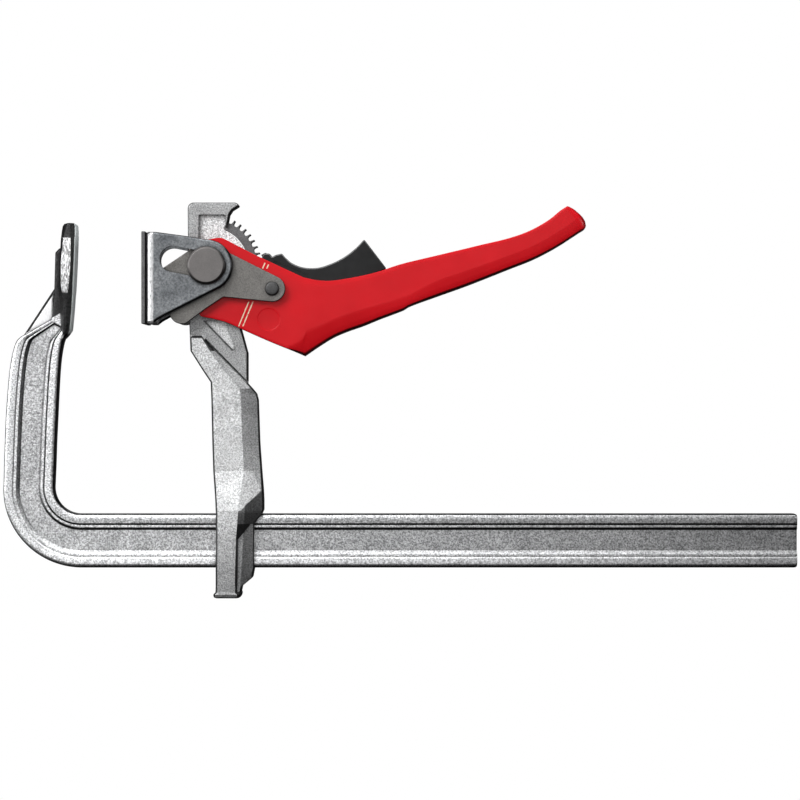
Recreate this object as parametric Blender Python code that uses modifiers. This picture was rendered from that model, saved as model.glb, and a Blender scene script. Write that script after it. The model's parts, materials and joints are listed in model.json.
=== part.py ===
"""A ratchet-lever bar clamp at rest: metres, +Z up, front face towards -Y.

Outlines are in millimetres, with X from the fixed jaw's pressing face, Z from the rail's inner edge
and Y from the mid-plane. The helpers turn them into metres. At the end everything is hung on one
empty, which puts the origin at the centre of the fixed jaw's pressing face.
"""

import math

import bmesh
import bpy
from mathutils import Matrix, Vector

MM = 0.001

# Driving dimensions (mm).
RAIL_DEEP = 22.4
RAIL_HALF = 5.25
RAIL_END = 301.0
LEG_SHRINK = 0.94
SLOT_GAP = 0.35
PIN = (55.4, 103.1)
PIN_R = 5.25
PIN_HEAD_R = 7.9
RIVET = (82.4, 93.6)
RIVET_R = 2.2
TOOTH_TIP_R = 22.25
TOOTH_ROOT_R = 20.2
TOOTH_INNER_R = 16.9
TOOTH_STEP = 7.5
TOOTH_TOP = 60.0
TOOTH_COUNT = 11
ARM_HEAD_HALF = 5.4
ARM_WEB_HALF = 2.6
BUSH_HALF = 6.9
HANDLE_IN = 7.2
HANDLE_OUT = 9.4
CAM_IN = 9.7
CAM_OUT = 12.7
CHEEK_IN = 13.0
CHEEK_OUT = 16.0
PIN_HEAD_OUT = 19.3
PAD_FACE_X = 27.9
PAD_INNER_X = 30.25
JAW_TOP = (1.25, 118.9)
JAW_FOOT = (-1.3, 76.0)
JAW_FACE = ((JAW_TOP[0] + JAW_FOOT[0]) / 2, (JAW_TOP[1] + JAW_FOOT[1]) / 2)
SLOT_TILT = -11.0
SLOT_R = 5.45
TRIGGER_HALF = 6.6
PAWL_HALF = 2.9
PAWL_PIN = (86.6, 101.0)
PAWL_PIN_R = 1.2
PAWL_DROP = 7.0
CUTTER_REACH = 30
FIT = 0.08
GAP = 0.3


def clear_scene():
    for obj in list(bpy.data.objects):
        bpy.data.objects.remove(obj, do_unlink=True)


def new_collection(name, helper=False):
    group = bpy.data.collections.new(name)
    bpy.context.scene.collection.children.link(group)
    group.hide_render = helper
    return group


clear_scene()
PARTS = new_collection("ratchet_lever_clamp")
CUTTERS = new_collection("cutters", helper=True)


def material(name, colour, roughness, metallic):
    mat = bpy.data.materials.new(name)
    mat.use_nodes = True
    shader = mat.node_tree.nodes["Principled BSDF"]
    shader.inputs["Base Color"].default_value = (*colour, 1.0)
    shader.inputs["Roughness"].default_value = roughness
    shader.inputs["Metallic"].default_value = metallic
    return mat


def link(obj, mat, helper):
    """Puts the object among the parts, or hides it among the cutters."""
    if helper:
        CUTTERS.objects.link(obj)
        obj.hide_render = True
        obj.display_type = "WIRE"
        return obj
    PARTS.objects.link(obj)
    obj.data.materials.clear()
    obj.data.materials.append(mat)
    return obj


def set_origin(obj, x, z):
    """Moves the object's origin to a joint axis and leaves its shape where it is."""
    place = Vector((x * MM, 0.0, z * MM))
    obj.data.transform(Matrix.Translation(obj.location - place))
    obj.location = place


def polar(centre, radius, degrees):
    angle = math.radians(degrees)
    return (centre[0] + radius * math.cos(angle), centre[1] + radius * math.sin(angle))


def arc(centre, radius, start, stop, steps):
    """Points on an arc, from start to stop in degrees."""
    return [polar(centre, radius, start + (stop - start) * i / steps) for i in range(steps + 1)]


def rounded(points, steps=5):
    """An outline whose corners with a third number are filleted to that radius."""
    outline = []
    for i, point in enumerate(points):
        corner = Vector(point[:2])
        if len(point) < 3:
            outline.append(tuple(corner))
            continue
        before = Vector(points[i - 1][:2]) - corner
        after = Vector(points[(i + 1) % len(points)][:2]) - corner
        half = before.angle(after) / 2
        reach = min(point[2] / math.tan(half), 0.48 * before.length, 0.48 * after.length)
        radius = reach * math.tan(half)
        middle = corner + (before.normalized() + after.normalized()).normalized() * radius / math.sin(half)
        first = corner + before.normalized() * reach - middle
        last = corner + after.normalized() * reach - middle
        turn = first.angle_signed(last)
        for k in range(steps + 1):
            spin = Matrix.Rotation(-turn * k / steps, 2)
            outline.append(tuple(middle + spin @ first))
    return outline


def curve_mesh(curve, name, matrix):
    """The curve as a welded mesh in world space."""
    shape = bpy.data.objects.new(name, curve)
    bpy.context.scene.collection.objects.link(shape)
    shape.matrix_world = matrix
    bpy.context.view_layer.update()
    graph = bpy.context.evaluated_depsgraph_get()
    mesh = bpy.data.meshes.new_from_object(shape.evaluated_get(graph))
    mesh.transform(matrix)
    bpy.data.objects.remove(shape)
    bm = bmesh.new()
    bm.from_mesh(mesh)
    bmesh.ops.remove_doubles(bm, verts=bm.verts, dist=2e-6)
    bmesh.ops.recalc_face_normals(bm, faces=bm.faces)
    bm.to_mesh(mesh)
    bm.free()
    mesh.name = name
    return mesh


def add_spline(curve, points, cyclic=True, lift=0.0):
    spline = curve.splines.new("POLY")
    spline.points.add(len(points) - 1)
    for slot, point in zip(spline.points, points):
        slot.co = (point[0] * MM, point[1] * MM, lift * MM, 1.0)
    spline.use_cyclic_u = cyclic
    return spline


def plate(name, outline, y_low, y_high, mat=None, holes=(), edge=0.0, helper=False):
    """A flat outline in X and Z, with thickness from y_low to y_high."""
    curve = bpy.data.curves.new(name, "CURVE")
    curve.dimensions = "2D"
    curve.fill_mode = "BOTH"
    curve.extrude = (y_high - y_low) / 2 * MM
    add_spline(curve, outline)
    for hole in holes:
        add_spline(curve, hole)
    upright = Matrix.Translation((0, (y_low + y_high) / 2 * MM, 0)) @ Matrix.Rotation(math.pi / 2, 4, "X")
    obj = bpy.data.objects.new(name, curve_mesh(curve, name, upright))
    if edge:
        soften(obj, edge)
    return link(obj, mat, helper)


def soften(obj, width, segments=2, degrees=35):
    bevel = obj.modifiers.new("edges", "BEVEL")
    bevel.width = width * MM
    bevel.segments = segments
    bevel.limit_method = "ANGLE"
    bevel.angle_limit = math.radians(degrees)
    bevel.harden_normals = False


def combine(obj, other, operation):
    boolean = obj.modifiers.new(f"{operation} {other.name}".lower(), "BOOLEAN")
    boolean.object = other
    boolean.operation = operation
    boolean.solver = "EXACT"


def cut(obj, *others):
    for other in others:
        combine(obj, other, "DIFFERENCE")


def join(obj, *others):
    for other in others:
        combine(obj, other, "UNION")


def turned(name, profile, centre, mat=None, steps=48, helper=False):
    """A profile of (radius, y) points turned about a Y axis through centre."""
    signed_area = sum(a[0] * b[1] - b[0] * a[1] for a, b in zip(profile, profile[1:] + profile[:1]))
    if signed_area < 0:
        profile = profile[::-1]
    mesh = bpy.data.meshes.new(name)
    bm = bmesh.new()
    verts = [bm.verts.new((radius * MM, y * MM, 0)) for radius, y in profile]
    for first, second in zip(verts, verts[1:]):
        bm.edges.new((first, second))
    if profile[0][0] > 0:
        bm.edges.new((verts[-1], verts[0]))
    bm.to_mesh(mesh)
    bm.free()
    obj = bpy.data.objects.new(name, mesh)
    obj.location = (centre[0] * MM, 0, centre[1] * MM)
    screw = obj.modifiers.new("turn", "SCREW")
    screw.axis = "Y"
    screw.steps = steps
    screw.render_steps = steps
    screw.use_merge_vertices = True
    screw.merge_threshold = 1e-5
    screw.use_normal_flip = True
    screw.use_smooth_shade = False
    return link(obj, mat, helper)


def headed(shank, low, high, head, head_low, head_high, rim=0.5):
    """A turned profile: a round head at the low end and a plain shank at the high end."""
    return [
        (0, head_low), (head - rim, head_low), (head, head_low + rim), (head, head_high),
        (shank, head_high), (shank, high - rim / 2), (shank - rim / 2, high), (0, high),
    ]


def box(name, low, high, mat=None, edge=0.0, helper=False):
    mesh = bpy.data.meshes.new(name)
    bm = bmesh.new()
    size = [(b - a) * MM for a, b in zip(low, high)]
    middle = [(a + b) / 2 * MM for a, b in zip(low, high)]
    bmesh.ops.create_cube(bm, size=1.0, matrix=Matrix.Translation(middle) @ Matrix.Diagonal((*size, 1)))
    bm.to_mesh(mesh)
    bm.free()
    obj = bpy.data.objects.new(name, mesh)
    if edge:
        soften(obj, edge)
    return link(obj, mat, helper)


def loft(name, sections, mat=None, helper=False):
    """A skin over outlines in X and Y, each at its own height."""
    mesh = bpy.data.meshes.new(name)
    bm = bmesh.new()
    rings = []
    for height, outline in sections:
        ring = [bm.verts.new((x * MM, y * MM, height * MM)) for x, y in outline]
        rings.append([bm.edges.new((a, b)) for a, b in zip(ring, ring[1:] + ring[:1])])
    for lower, upper in zip(rings, rings[1:]):
        bmesh.ops.bridge_loops(bm, edges=lower + upper)
    bmesh.ops.contextual_create(bm, geom=rings[0])
    bmesh.ops.contextual_create(bm, geom=rings[-1])
    bmesh.ops.triangulate(bm, faces=bm.faces)
    bmesh.ops.recalc_face_normals(bm, faces=bm.faces)
    bm.to_mesh(mesh)
    bm.free()
    return link(bpy.data.objects.new(name, mesh), mat, helper)


ZINC = material("zinc_cast", (0.62, 0.63, 0.64), 0.42, 0.9)
RAIL_STEEL = material("galvanised", (0.56, 0.57, 0.58), 0.4, 0.9)
PLATED = material("plated_sheet", (0.55, 0.54, 0.52), 0.35, 0.9)
GREY_STEEL = material("cam_steel", (0.33, 0.31, 0.29), 0.45, 0.85)
DARK_STEEL = material("phosphated", (0.16, 0.16, 0.16), 0.5, 0.7)
PIN_STEEL = material("pin_steel", (0.22, 0.21, 0.2), 0.38, 0.85)
RED = material("red_paint", (0.78, 0.02, 0.025), 0.3, 0.0)
BLACK = material("black_plastic", (0.02, 0.02, 0.022), 0.42, 0.0)
BRONZE = material("bronze", (0.5, 0.35, 0.18), 0.4, 0.9)
SPRING = material("spring_steel", (0.3, 0.3, 0.31), 0.35, 0.9)

# Rail, fixed arm and fixed jaw: one bent and forged bar.

BEND_CENTRE = (2.0, 11.0)
LEG_LEAN = 2.7


def rail_section():
    """Half of the bar's cross-section as (across, thickness) from the inner edge to the outer."""
    half = RAIL_HALF
    side = [
        (0, half - 0.6), (0.6, half), (4.2, half), (4.5, half - 0.45), (5.5, half - 0.45),
        (6.6, half - 1.4), (15.6, half - 1.4), (16.3, half - 0.45), (17.4, half - 0.45),
        (17.7, half), (RAIL_DEEP - 0.6, half), (RAIL_DEEP, half - 0.6),
    ]
    front = [(RAIL_DEEP / 2 - across, -depth) for across, depth in side]
    return front + [(across, -depth) for across, depth in reversed(front)]


def rail_path():
    """The bar's centre line as (x, z, size), from the free end to the jaw."""
    low = -RAIL_DEEP / 2
    path = [(RAIL_END, low, 1.0), (200.0, low, 1.0), (100.0, low, 1.0), (40.0, low, 1.0)]
    steps = 14
    for i in range(steps + 1):
        part = i / steps
        size = 1.0 + (LEG_SHRINK - 1.0) * part
        radius = 11.0 + RAIL_DEEP / 2 * size
        path.append((*polar(BEND_CENTRE, radius, -90 - (90 + LEG_LEAN) * part), size))
    path += [(-17.9, 45.0, LEG_SHRINK), (-17.1, 60.0, LEG_SHRINK), (-15.6, 72.0, 0.92), (-13.6, 79.0, 0.7)]
    return path


def bar_mesh():
    """The cross-section swept along the centre line."""
    section = bpy.data.curves.new("section", "CURVE")
    section.dimensions = "2D"
    add_spline(section, rail_section())
    guide = bpy.data.objects.new("section", section)
    bpy.context.scene.collection.objects.link(guide)
    curve = bpy.data.curves.new("rail", "CURVE")
    curve.dimensions = "2D"
    curve.bevel_mode = "OBJECT"
    curve.bevel_object = guide
    curve.use_fill_caps = True
    path = rail_path()
    spline = add_spline(curve, path, cyclic=False)
    for slot, point in zip(spline.points, path):
        slot.radius = point[2]
    mesh = curve_mesh(curve, "rail", Matrix.Rotation(math.pi / 2, 4, "X"))
    bpy.data.objects.remove(guide)
    return mesh


def jaw_outline():
    return rounded([
        (-24.0, 70.0), (-21.9, 74.3, 1.5), (-8.3, 94.7, 2), (-7.9, 109.8, 1), (-6.2, 111.7, 1),
        (-4.5, 120.4, 1),
        (-1.5, 121.5, 0.8), (0.8, 120.8, 0.8), JAW_TOP, (*JAW_FOOT, 1), (-4.9, 72.6, 1), (-5.4, 68.0),
    ])


def make_rail():
    """The rail with its fixed arm, jaw rib and wide pressing plate."""
    rail = link(bpy.data.objects.new("rail", bar_mesh()), RAIL_STEEL, False)
    rib = plate("jaw_rib", jaw_outline(), -4.6, 4.6, edge=0.5, helper=True)
    face = [JAW_TOP, (0.8, 120.8), (-0.9, 121.2), (-2.1, 118.0), (-4.6, 78.0), (-3.4, 74.3), JAW_FOOT]
    wide = plate("jaw_plate", face, -8.8, 8.8, edge=0.5, helper=True)
    join(rail, rib, wide)
    return rail


# Sliding arm and what is fixed to it.


def arm_section(left, ridge, right, front, back):
    """A six-sided outline: flat sides at the left, and slopes from the ridge to the right edge."""
    return [
        (left, -front + 0.8), (left + 0.8, -front), (ridge, -front), (right, -back),
        (right, back), (ridge, front), (left + 0.8, front), (left, front - 0.8),
    ]


def arm_leg():
    """The forged leg of the sliding arm, which widens to hold the rail and narrows to a ledge at the neck."""
    sections = [
        (-34.9, arm_section(59.6, 66.4, 67.8, 9.6, 9.2)),
        (-33.9, arm_section(58.3, 67.6, 69.0, 10.4, 9.4)),
        (-30.3, arm_section(58.9, 67.0, 70.2, 10.4, 8.6)),
        (-25.7, arm_section(58.9, 67.2, 74.7, 10.4, 7.2)),
        (-5.0, arm_section(58.9, 67.6, 74.7, 10.4, 7.2)),
        (1.7, arm_section(58.8, 68.2, 78.4, 10.4, 6.8)),
        (4.0, arm_section(58.6, 68.6, 79.0, 9.9, 6.2)),
        (11.2, arm_section(58.1, 69.6, 78.7, 8.6, 5.2)),
        (18.0, arm_section(57.6, 70.4, 77.9, 7.4, 4.4)),
        (29.8, arm_section(57.2, 69.8, 76.8, 7.2, 4.0)),
        (47.5, arm_section(56.8, 69.2, 76.2, 6.9, 4.0)),
        (50.9, arm_section(56.6, 68.8, 75.4, 6.85, 4.2)),
        (54.9, arm_section(56.5, 66.0, 71.8, 6.8, 5.0)),
        (67.9, arm_section(48.1, 56.5, 60.3, 6.8, 5.2)),
        (73.3, arm_section(47.9, 53.0, 54.4, 6.8, 5.2)),
        (74.6, arm_section(48.4, 53.0, 53.8, 5.2, 5.0)),
    ]
    return loft("sliding_arm", sections, ZINC)


def arm_head_outline():
    """The head and neck: a square nose, an arc behind the ratchet segment, and a taper into the leg."""
    behind = arc(PIN, TOOTH_INNER_R - GAP, 67, -26, 16)
    nose = rounded([(46.9, 129.8, 2.5), (66.75, 129.8, 1), (68.1, 128.2, 0.5), (66.6, 126.6, 0.6),
                    (64.9, 126.0),
                    (62.9, 121.8)])
    return nose + behind + [(69.2, 77.0), (71.9, 67.1), (71.9, 52.0), (57.5, 50.0), (57.3, 55.6),
                            (48.0, 68.5),
                            (47.4, 90.0)]


def head_pocket_outline():
    """The recessed panel inside the head's rim, open towards the ratchet segment."""
    beside = arc(PIN, TOOTH_INNER_R + 1.0, 62, 20, 8)
    return [(51.6, 124.6), (63.1, 124.6), (63.1, 119.6)] + beside + arc(PIN, BUSH_R + 2.2, 20, 160, 12)


def neck_pocket_outline():
    """The sunk triangle beside the diagonal rib."""
    return rounded([(53.0, 83.0, 0.5), (63.6, 83.0, 0.5), (63.4, 78.8), (67.1, 68.7, 0.6), (65.8, 67.9, 0.4)])


def sector(inner, outer, start, stop, steps=14):
    return arc(PIN, outer, start, stop, steps) + arc(PIN, inner, stop, start, steps)


def make_sliding_arm():
    arm = arm_leg()
    join(arm, plate("arm_head", arm_head_outline(), -ARM_HEAD_HALF, ARM_HEAD_HALF, edge=0.5, helper=True))
    slot_half = RAIL_HALF + SLOT_GAP
    cut(arm, box("rail_slot", (40, -slot_half, -RAIL_DEEP - SLOT_GAP), (95, slot_half, SLOT_GAP),
                 helper=True))
    cut(arm, box("spring_pocket", (61.5, -3.3, -RAIL_DEEP - 1.9), (67.5, 3.3, -RAIL_DEEP), helper=True))
    for side, name in ((-1, "front"), (1, "rear")):
        low, high = sorted((side * ARM_WEB_HALF, side * 9.0))
        cut(arm, plate(f"head_pocket_{name}", head_pocket_outline(), low, high, helper=True))
        low, high = sorted((side * (ARM_HEAD_HALF - 1.8), side * 9.0))
        cut(arm, plate(f"neck_pocket_{name}", neck_pocket_outline(), low, high, helper=True))
    tongue = sector(TONGUE_R - GAP, TOOTH_INNER_R + 2, -20, 64)
    cut(arm, plate("tongue_slot", tongue, -TONGUE_HALF - GAP / 2, TONGUE_HALF + GAP / 2, helper=True))
    bush_hole = [(0, -9), (BUSH_R + FIT, -9), (BUSH_R + FIT, 9), (0, 9)]
    cut(arm, turned("bush_hole", bush_hole, PIN, helper=True))
    for name, degrees in SEGMENT_RIVETS.items():
        hole = [(0, -9), (1.6, -9), (1.6, 9), (0, 9)]
        cut(arm, turned(f"{name}_hole", hole, polar(PIN, SEGMENT_RIVET_R, degrees), steps=20, helper=True))
    return arm


TONGUE_R = 12.6
TONGUE_HALF = 1.2
BUSH_R = 7.2
SEGMENT_RIVET_R = 14.6
SEGMENT_RIVETS = {"segment_rivet_upper": 27.0, "segment_rivet_lower": -8.0}


def tooth_outline():
    """Hooked teeth along the outer edge of the segment, from the top down."""
    points = arc(PIN, TOOTH_ROOT_R, TOOTH_TOP + 4, TOOTH_TOP + 2, 2)
    for i in range(TOOTH_COUNT):
        tip = TOOTH_TOP - TOOTH_STEP * i
        points += [
            polar(PIN, TOOTH_TIP_R - 0.35, tip + 0.5),
            polar(PIN, TOOTH_TIP_R, tip),
            polar(PIN, TOOTH_TIP_R - 0.9, tip - 1.2),
            polar(PIN, TOOTH_ROOT_R + 0.25, tip - 2.3),
            polar(PIN, TOOTH_ROOT_R, tip - 3.4),
            polar(PIN, TOOTH_ROOT_R + 0.25, tip - 4.8),
        ]
    bottom = TOOTH_TOP - TOOTH_STEP * TOOTH_COUNT
    return points + arc(PIN, TOOTH_ROOT_R, bottom + 1.5, bottom, 1)


def make_segment():
    bottom = TOOTH_TOP - TOOTH_STEP * TOOTH_COUNT
    outline = tooth_outline() + arc(PIN, TOOTH_INNER_R, bottom, TOOTH_TOP + 4, 24)
    segment = plate("ratchet_segment", outline, -3.0, 3.0, DARK_STEEL)
    tongue = sector(TONGUE_R, TOOTH_INNER_R + 1, -18, 62, 16)
    join(segment, plate("segment_tongue", tongue, -TONGUE_HALF, TONGUE_HALF, helper=True))
    for name, degrees in SEGMENT_RIVETS.items():
        hole = [(0, -9), (1.6, -9), (1.6, 9), (0, 9)]
        cut(segment, turned(f"{name}_eye", hole, polar(PIN, SEGMENT_RIVET_R, degrees), steps=20, helper=True))
    return segment


def make_segment_rivets():
    for name, degrees in SEGMENT_RIVETS.items():
        centre = polar(PIN, SEGMENT_RIVET_R, degrees)
        half = ARM_WEB_HALF
        turned(name, [(0, -half), (1.2, -half), (1.5, 0.3 - half), (1.5, half - 0.3), (1.2, half),
                      (0, half)], centre,
               DARK_STEEL, 20)


def make_bush():
    low, high = -BUSH_HALF, BUSH_HALF
    inner = PIN_R + FIT
    turned("pivot_bush", [(inner, low), (BUSH_R, low), (BUSH_R, high), (inner, high)], PIN, BRONZE)


def make_brake_spring():
    """A thin bowed leaf under the rail that stops the arm from sliding by its own weight."""
    top = -RAIL_DEEP - SLOT_GAP - 0.15
    bow = [(62.0, top - 1.1), (63.3, top - 0.35), (64.5, top), (65.7, top - 0.35), (67.0, top - 1.1)]
    under = [(x, z - 0.25) for x, z in reversed(bow)]
    plate("brake_spring", bow + under, -3.0, 3.0, SPRING)


# Main pin, which turns with the pad.


def make_main_pin():
    profile = headed(PIN_R, 0, CHEEK_OUT + GAP, PIN_HEAD_R, -PIN_HEAD_OUT, -CHEEK_OUT - GAP, 0.9)
    pin = turned("main_pin", profile[:-2] + [(PIN_R, CHEEK_OUT + GAP), (4.0, CHEEK_OUT + GAP),
                                             (4.0, PIN_HEAD_OUT - 0.3),
                                             (0, PIN_HEAD_OUT - 0.3)], PIN, PIN_STEEL)
    ring = [(4.05, CHEEK_OUT + GAP + 0.05), (PIN_HEAD_R, CHEEK_OUT + GAP + 0.05),
            (PIN_HEAD_R, PIN_HEAD_OUT - 0.8),
            (PIN_HEAD_R - 0.8, PIN_HEAD_OUT), (4.05, PIN_HEAD_OUT)]
    turned("main_pin_collar", ring, PIN, PIN_STEEL)
    return pin


# Pad: a bent bracket that slides on the pin, with a face plate.


def pad_outline():
    nose = arc(PIN, 10.8, 86, -60, 14)
    return rounded([(PAD_INNER_X, 78.75, 0.6), (PAD_INNER_X, 117.6, 0.8), (34.6, 117.4),
                    (47.2, 115.5)]) + nose + [
        (38.75, 82.4), (35.25, 80.4), (33.2, 78.75)]


def slot_outline():
    """The long hole that lets the pad move out along the pin."""
    turn = 180 + SLOT_TILT
    far = polar(PIN, 15.1, turn)
    near = polar(PIN, 2.8, SLOT_TILT)
    ends = (far, turn), (near, SLOT_TILT)
    return [point for centre, facing in ends for point in arc(centre, SLOT_R, facing + 90, facing - 90, 12)]


def bent_strip():
    """The bracket's strip, bent round two corners: a U seen from above, tall enough to be trimmed."""
    bend_out, bend_in = 2.9, 0.4
    outer = rounded([(90.0, -CHEEK_OUT), (PAD_INNER_X, -CHEEK_OUT, bend_out),
                     (PAD_INNER_X, CHEEK_OUT, bend_out),
                     (90.0, CHEEK_OUT)])
    inner_x = PAD_INNER_X + CHEEK_OUT - CHEEK_IN - 0.5
    inner = rounded([(90.0, CHEEK_IN), (inner_x, CHEEK_IN, bend_in), (inner_x, -CHEEK_IN, bend_in),
                     (90.0, -CHEEK_IN)])
    return loft("pad_strip", [(60.0, outer + inner), (140.0, outer + inner)], helper=True)


def make_pad():
    bracket = plate("pad_bracket", pad_outline(), -CHEEK_OUT - 1, CHEEK_OUT + 1, PLATED)
    combine(bracket, bent_strip(), "INTERSECT")
    cut(bracket, plate("pin_slot", slot_outline(), -20, 20, helper=True))
    face = rounded([(PAD_FACE_X, 78.6, 0.5), (PAD_FACE_X, 117.7, 0.5), (PAD_INNER_X - 0.15, 117.7),
                    (PAD_INNER_X - 0.15, 78.6)])
    plate_piece = plate("pad_face_plate", face, -CHEEK_OUT + 0.6, CHEEK_OUT - 0.6, DARK_STEEL, edge=0.3)
    for name, height in (("pad_rivet_upper", 108.5), ("pad_rivet_lower", 88.0)):
        add_pad_rivet(name, height, bracket, plate_piece)
    return bracket, plate_piece


def add_pad_rivet(name, height, *holders):
    """A flush rivet along X through the face plate and the bracket."""
    rivet = lying_cylinder(name, 1.9, PAD_FACE_X + 0.4, 33.6, height, PIN_STEEL)
    hole = lying_cylinder(f"{name}_hole", 2.0, PAD_FACE_X - 2, 40.0, height, helper=True)
    for holder in holders:
        cut(holder, hole)
    return rivet


def lying_cylinder(name, radius, x_low, x_high, height, mat=None, helper=False):
    mesh = bpy.data.meshes.new(name)
    bm = bmesh.new()
    bmesh.ops.create_cone(bm, cap_ends=True, segments=24, radius1=radius * MM, radius2=radius * MM,
                          depth=(x_high - x_low) * MM)
    bm.to_mesh(mesh)
    bm.free()
    obj = bpy.data.objects.new(name, mesh)
    obj.rotation_euler = (0, math.pi / 2, 0)
    obj.location = ((x_low + x_high) / 2 * MM, 0, height * MM)
    return link(obj, mat, helper)


# Lever: a folded channel with two cam plates.

HANDLE_TOP = [
    (53.0, 81.5, 0.8), (53.0, 96.0), (52.5, 112.5, 3.0), (56.3, 114.0), (60.0, 114.9), (62.2, 114.5),
    (75.0, 107.9),
    (90.4, 100.7), (98.1, 97.5, 8.0), (109.7, 97.3), (129.7, 101.8), (132.0, 103.1), (144.6, 106.0),
    (179.7, 114.4), (191.4, 118.9, 20.0), (203.7, 127.4, 3.0), (208.0, 127.4, 2.5), (213.3, 121.0, 2.5),
    (204.8, 113.7), (190.2, 105.8, 20.0),
]
HANDLE_FLOOR = [(162.2, 94.7), (139.4, 86.5), (127.1, 81.5), (107.5, 73.5, 8.0), (95.7, 65.8, 1.0)]
HANDLE_OPEN = [(82.0, 71.3), (69.3, 77.0), (62.9, 79.8), (56.5, 81.4)]


def channel_inside():
    """The hollow between the handle's cheeks, open at the top and towards the arm."""
    wall = HANDLE_OUT - HANDLE_IN
    floor = [(40.0, 60.0), (92.5, 55.0), (94.0, 66.4), (106.4, 75.6), (126.3, 83.8), (138.6, 88.8),
             (161.4, 97.1)]
    return floor + [(189.0, 108.2), (202.0, 115.6), (206.6, 120.4), (204.0 + wall, 135.0), (40.0, 135.0)]


def pin_hole(name, centre, radius, steps=48):
    reach = CUTTER_REACH
    return turned(name, [(0, -reach), (radius, -reach), (radius, reach), (0, reach)], centre, steps=steps,
                  helper=True)


def make_handle():
    outline = rounded(HANDLE_TOP + HANDLE_FLOOR + HANDLE_OPEN)
    handle = plate("handle", outline, -HANDLE_OUT, HANDLE_OUT, RED, edge=1.2)
    cut(handle, plate("channel_hollow", channel_inside(), -HANDLE_IN, HANDLE_IN, helper=True))
    cut(handle, PIN_HOLE, RIVET_HOLE)
    return handle


def cam_outline():
    """The cam lobe is at the lower left, and the long arm of the plate runs to the rivet."""
    crown = arc(PIN, 9.6, 135, 58, 8)
    tail = arc(RIVET, 5.4, 66, -96, 12)
    lobe = arc((45.0, 84.2), 5.2, -70, -160, 6)
    return crown + [(64.0, 108.8)] + tail + [(72.0, 89.2), (62.2, 90.2), (55.0, 85.4)] + lobe + [
        (38.0, 88.0), (36.2, 95.0), (37.3, 102.3)]


def make_cam_plates():
    for name, low, high in (("cam_plate_front", -CAM_OUT, -CAM_IN), ("cam_plate_rear", CAM_IN, CAM_OUT)):
        cam = plate(name, cam_outline(), low, high, GREY_STEEL, edge=0.35)
        cut(cam, PIN_HOLE, RIVET_HOLE)


def make_lever_rivet():
    """A shank through both cams and the handle, with a domed head at each end."""
    out = CAM_OUT + 0.15
    head = [(0, out + 1.6), (1.6, out + 1.4), (2.9, out + 0.6), (2.9, out), (RIVET_R, out)]
    turned("lever_rivet", [(r, -y) for r, y in head] + head[::-1], RIVET, DARK_STEEL, 32)


def make_trigger_spring():
    """A torsion spring round the lever rivet, with one leg along the channel's floor."""
    curve = bpy.data.curves.new("trigger_spring", "CURVE")
    curve.dimensions = "3D"
    curve.bevel_depth = 0.4 * MM
    curve.bevel_resolution = 2
    curve.use_fill_caps = True
    turns, steps, radius = 2.0, 20, 3.2
    start, pitch = -70.0, 1.0
    points = [(*polar(RIVET, 9.0, -60), 4.2)]
    for i in range(int(turns * steps) + 1):
        angle = start + 360.0 * i / steps
        points.append((*polar(RIVET, radius, angle), 4.2 + pitch * i / steps))
    points.append((*polar(RIVET, 8.0, -28), 6.3))
    spline = curve.splines.new("POLY")
    spline.points.add(len(points) - 1)
    for slot, (x, z, y) in zip(spline.points, points):
        slot.co = (x * MM, y * MM, z * MM, 1.0)
    link(bpy.data.objects.new("trigger_spring", curve_mesh(curve, "trigger_spring", Matrix())), SPRING, False)


# Trigger and pawl.


def trigger_outline():
    hub = arc(RIVET, 5.4, 200, 330, 12)
    under = [(94.0, 91.4), (108.0, 95.0), (122.0, 100.4), (129.7, 102.5, 0.8)]
    crest = [(120.5, 114.3, 0.6), (113.5, 107.9), (105.8, 103.9), (98.1, 102.3), (90.4, 104.5), (87.7, 106.8),
             (86.2, 108.5, 0.5), (82.1, 107.2), (80.0, 108.4, 0.6), (78.6, 107.6), (78.9, 100.0)]
    return hub + rounded(under + crest)


def make_trigger():
    trigger = plate("trigger", trigger_outline(), -TRIGGER_HALF, TRIGGER_HALF, BLACK, edge=0.8)
    cut(trigger, box("pawl_slot", (70, -PAWL_HALF - 0.1, 80), (91, PAWL_HALF + 0.1, 120), helper=True))
    cut(trigger, box("spring_room", (70, 3.6, 80), (93.5, 9, 98.0), helper=True))
    cut(trigger, RIVET_HOLE)


def turn_about(point, centre, degrees):
    offset = Matrix.Rotation(math.radians(degrees), 2) @ (Vector(point) - Vector(centre))
    return tuple(Vector(centre) + offset)


def pawl_nose():
    """The nose is drawn where it sits between two teeth, then turned back to where it rests clear of them."""
    seated = [polar(PIN, 23.6, 15.0), polar(PIN, 22.6, 13.6), polar(PIN, 20.8, 12.1), polar(PIN, 20.8, 10.7),
              polar(PIN, 22.6, 9.0), polar(PIN, 23.8, 4.5)]
    return [turn_about(point, RIVET, -PAWL_DROP) for point in seated]


def make_pawl():
    back = rounded([(90.4, 92.0, 1.5), (90.4, 104.2, 1.5), (84.0, 105.4, 1.0)])
    outline = arc(RIVET, 4.9, 170, 300, 10) + back
    pawl = plate("pawl", outline + pawl_nose(), -PAWL_HALF, PAWL_HALF, DARK_STEEL)
    cut(pawl, RIVET_HOLE, pin_hole("pawl_pin_eye", PAWL_PIN, PAWL_PIN_R + 0.1, 20))
    cut(bpy.data.objects["trigger"], bpy.data.objects["pawl_pin_eye"])
    half = TRIGGER_HALF - 0.4
    profile = [(0, -half), (PAWL_PIN_R, -half), (PAWL_PIN_R, half), (0, half)]
    turned("pawl_pin", profile, PAWL_PIN, PIN_STEEL, 20)


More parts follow.
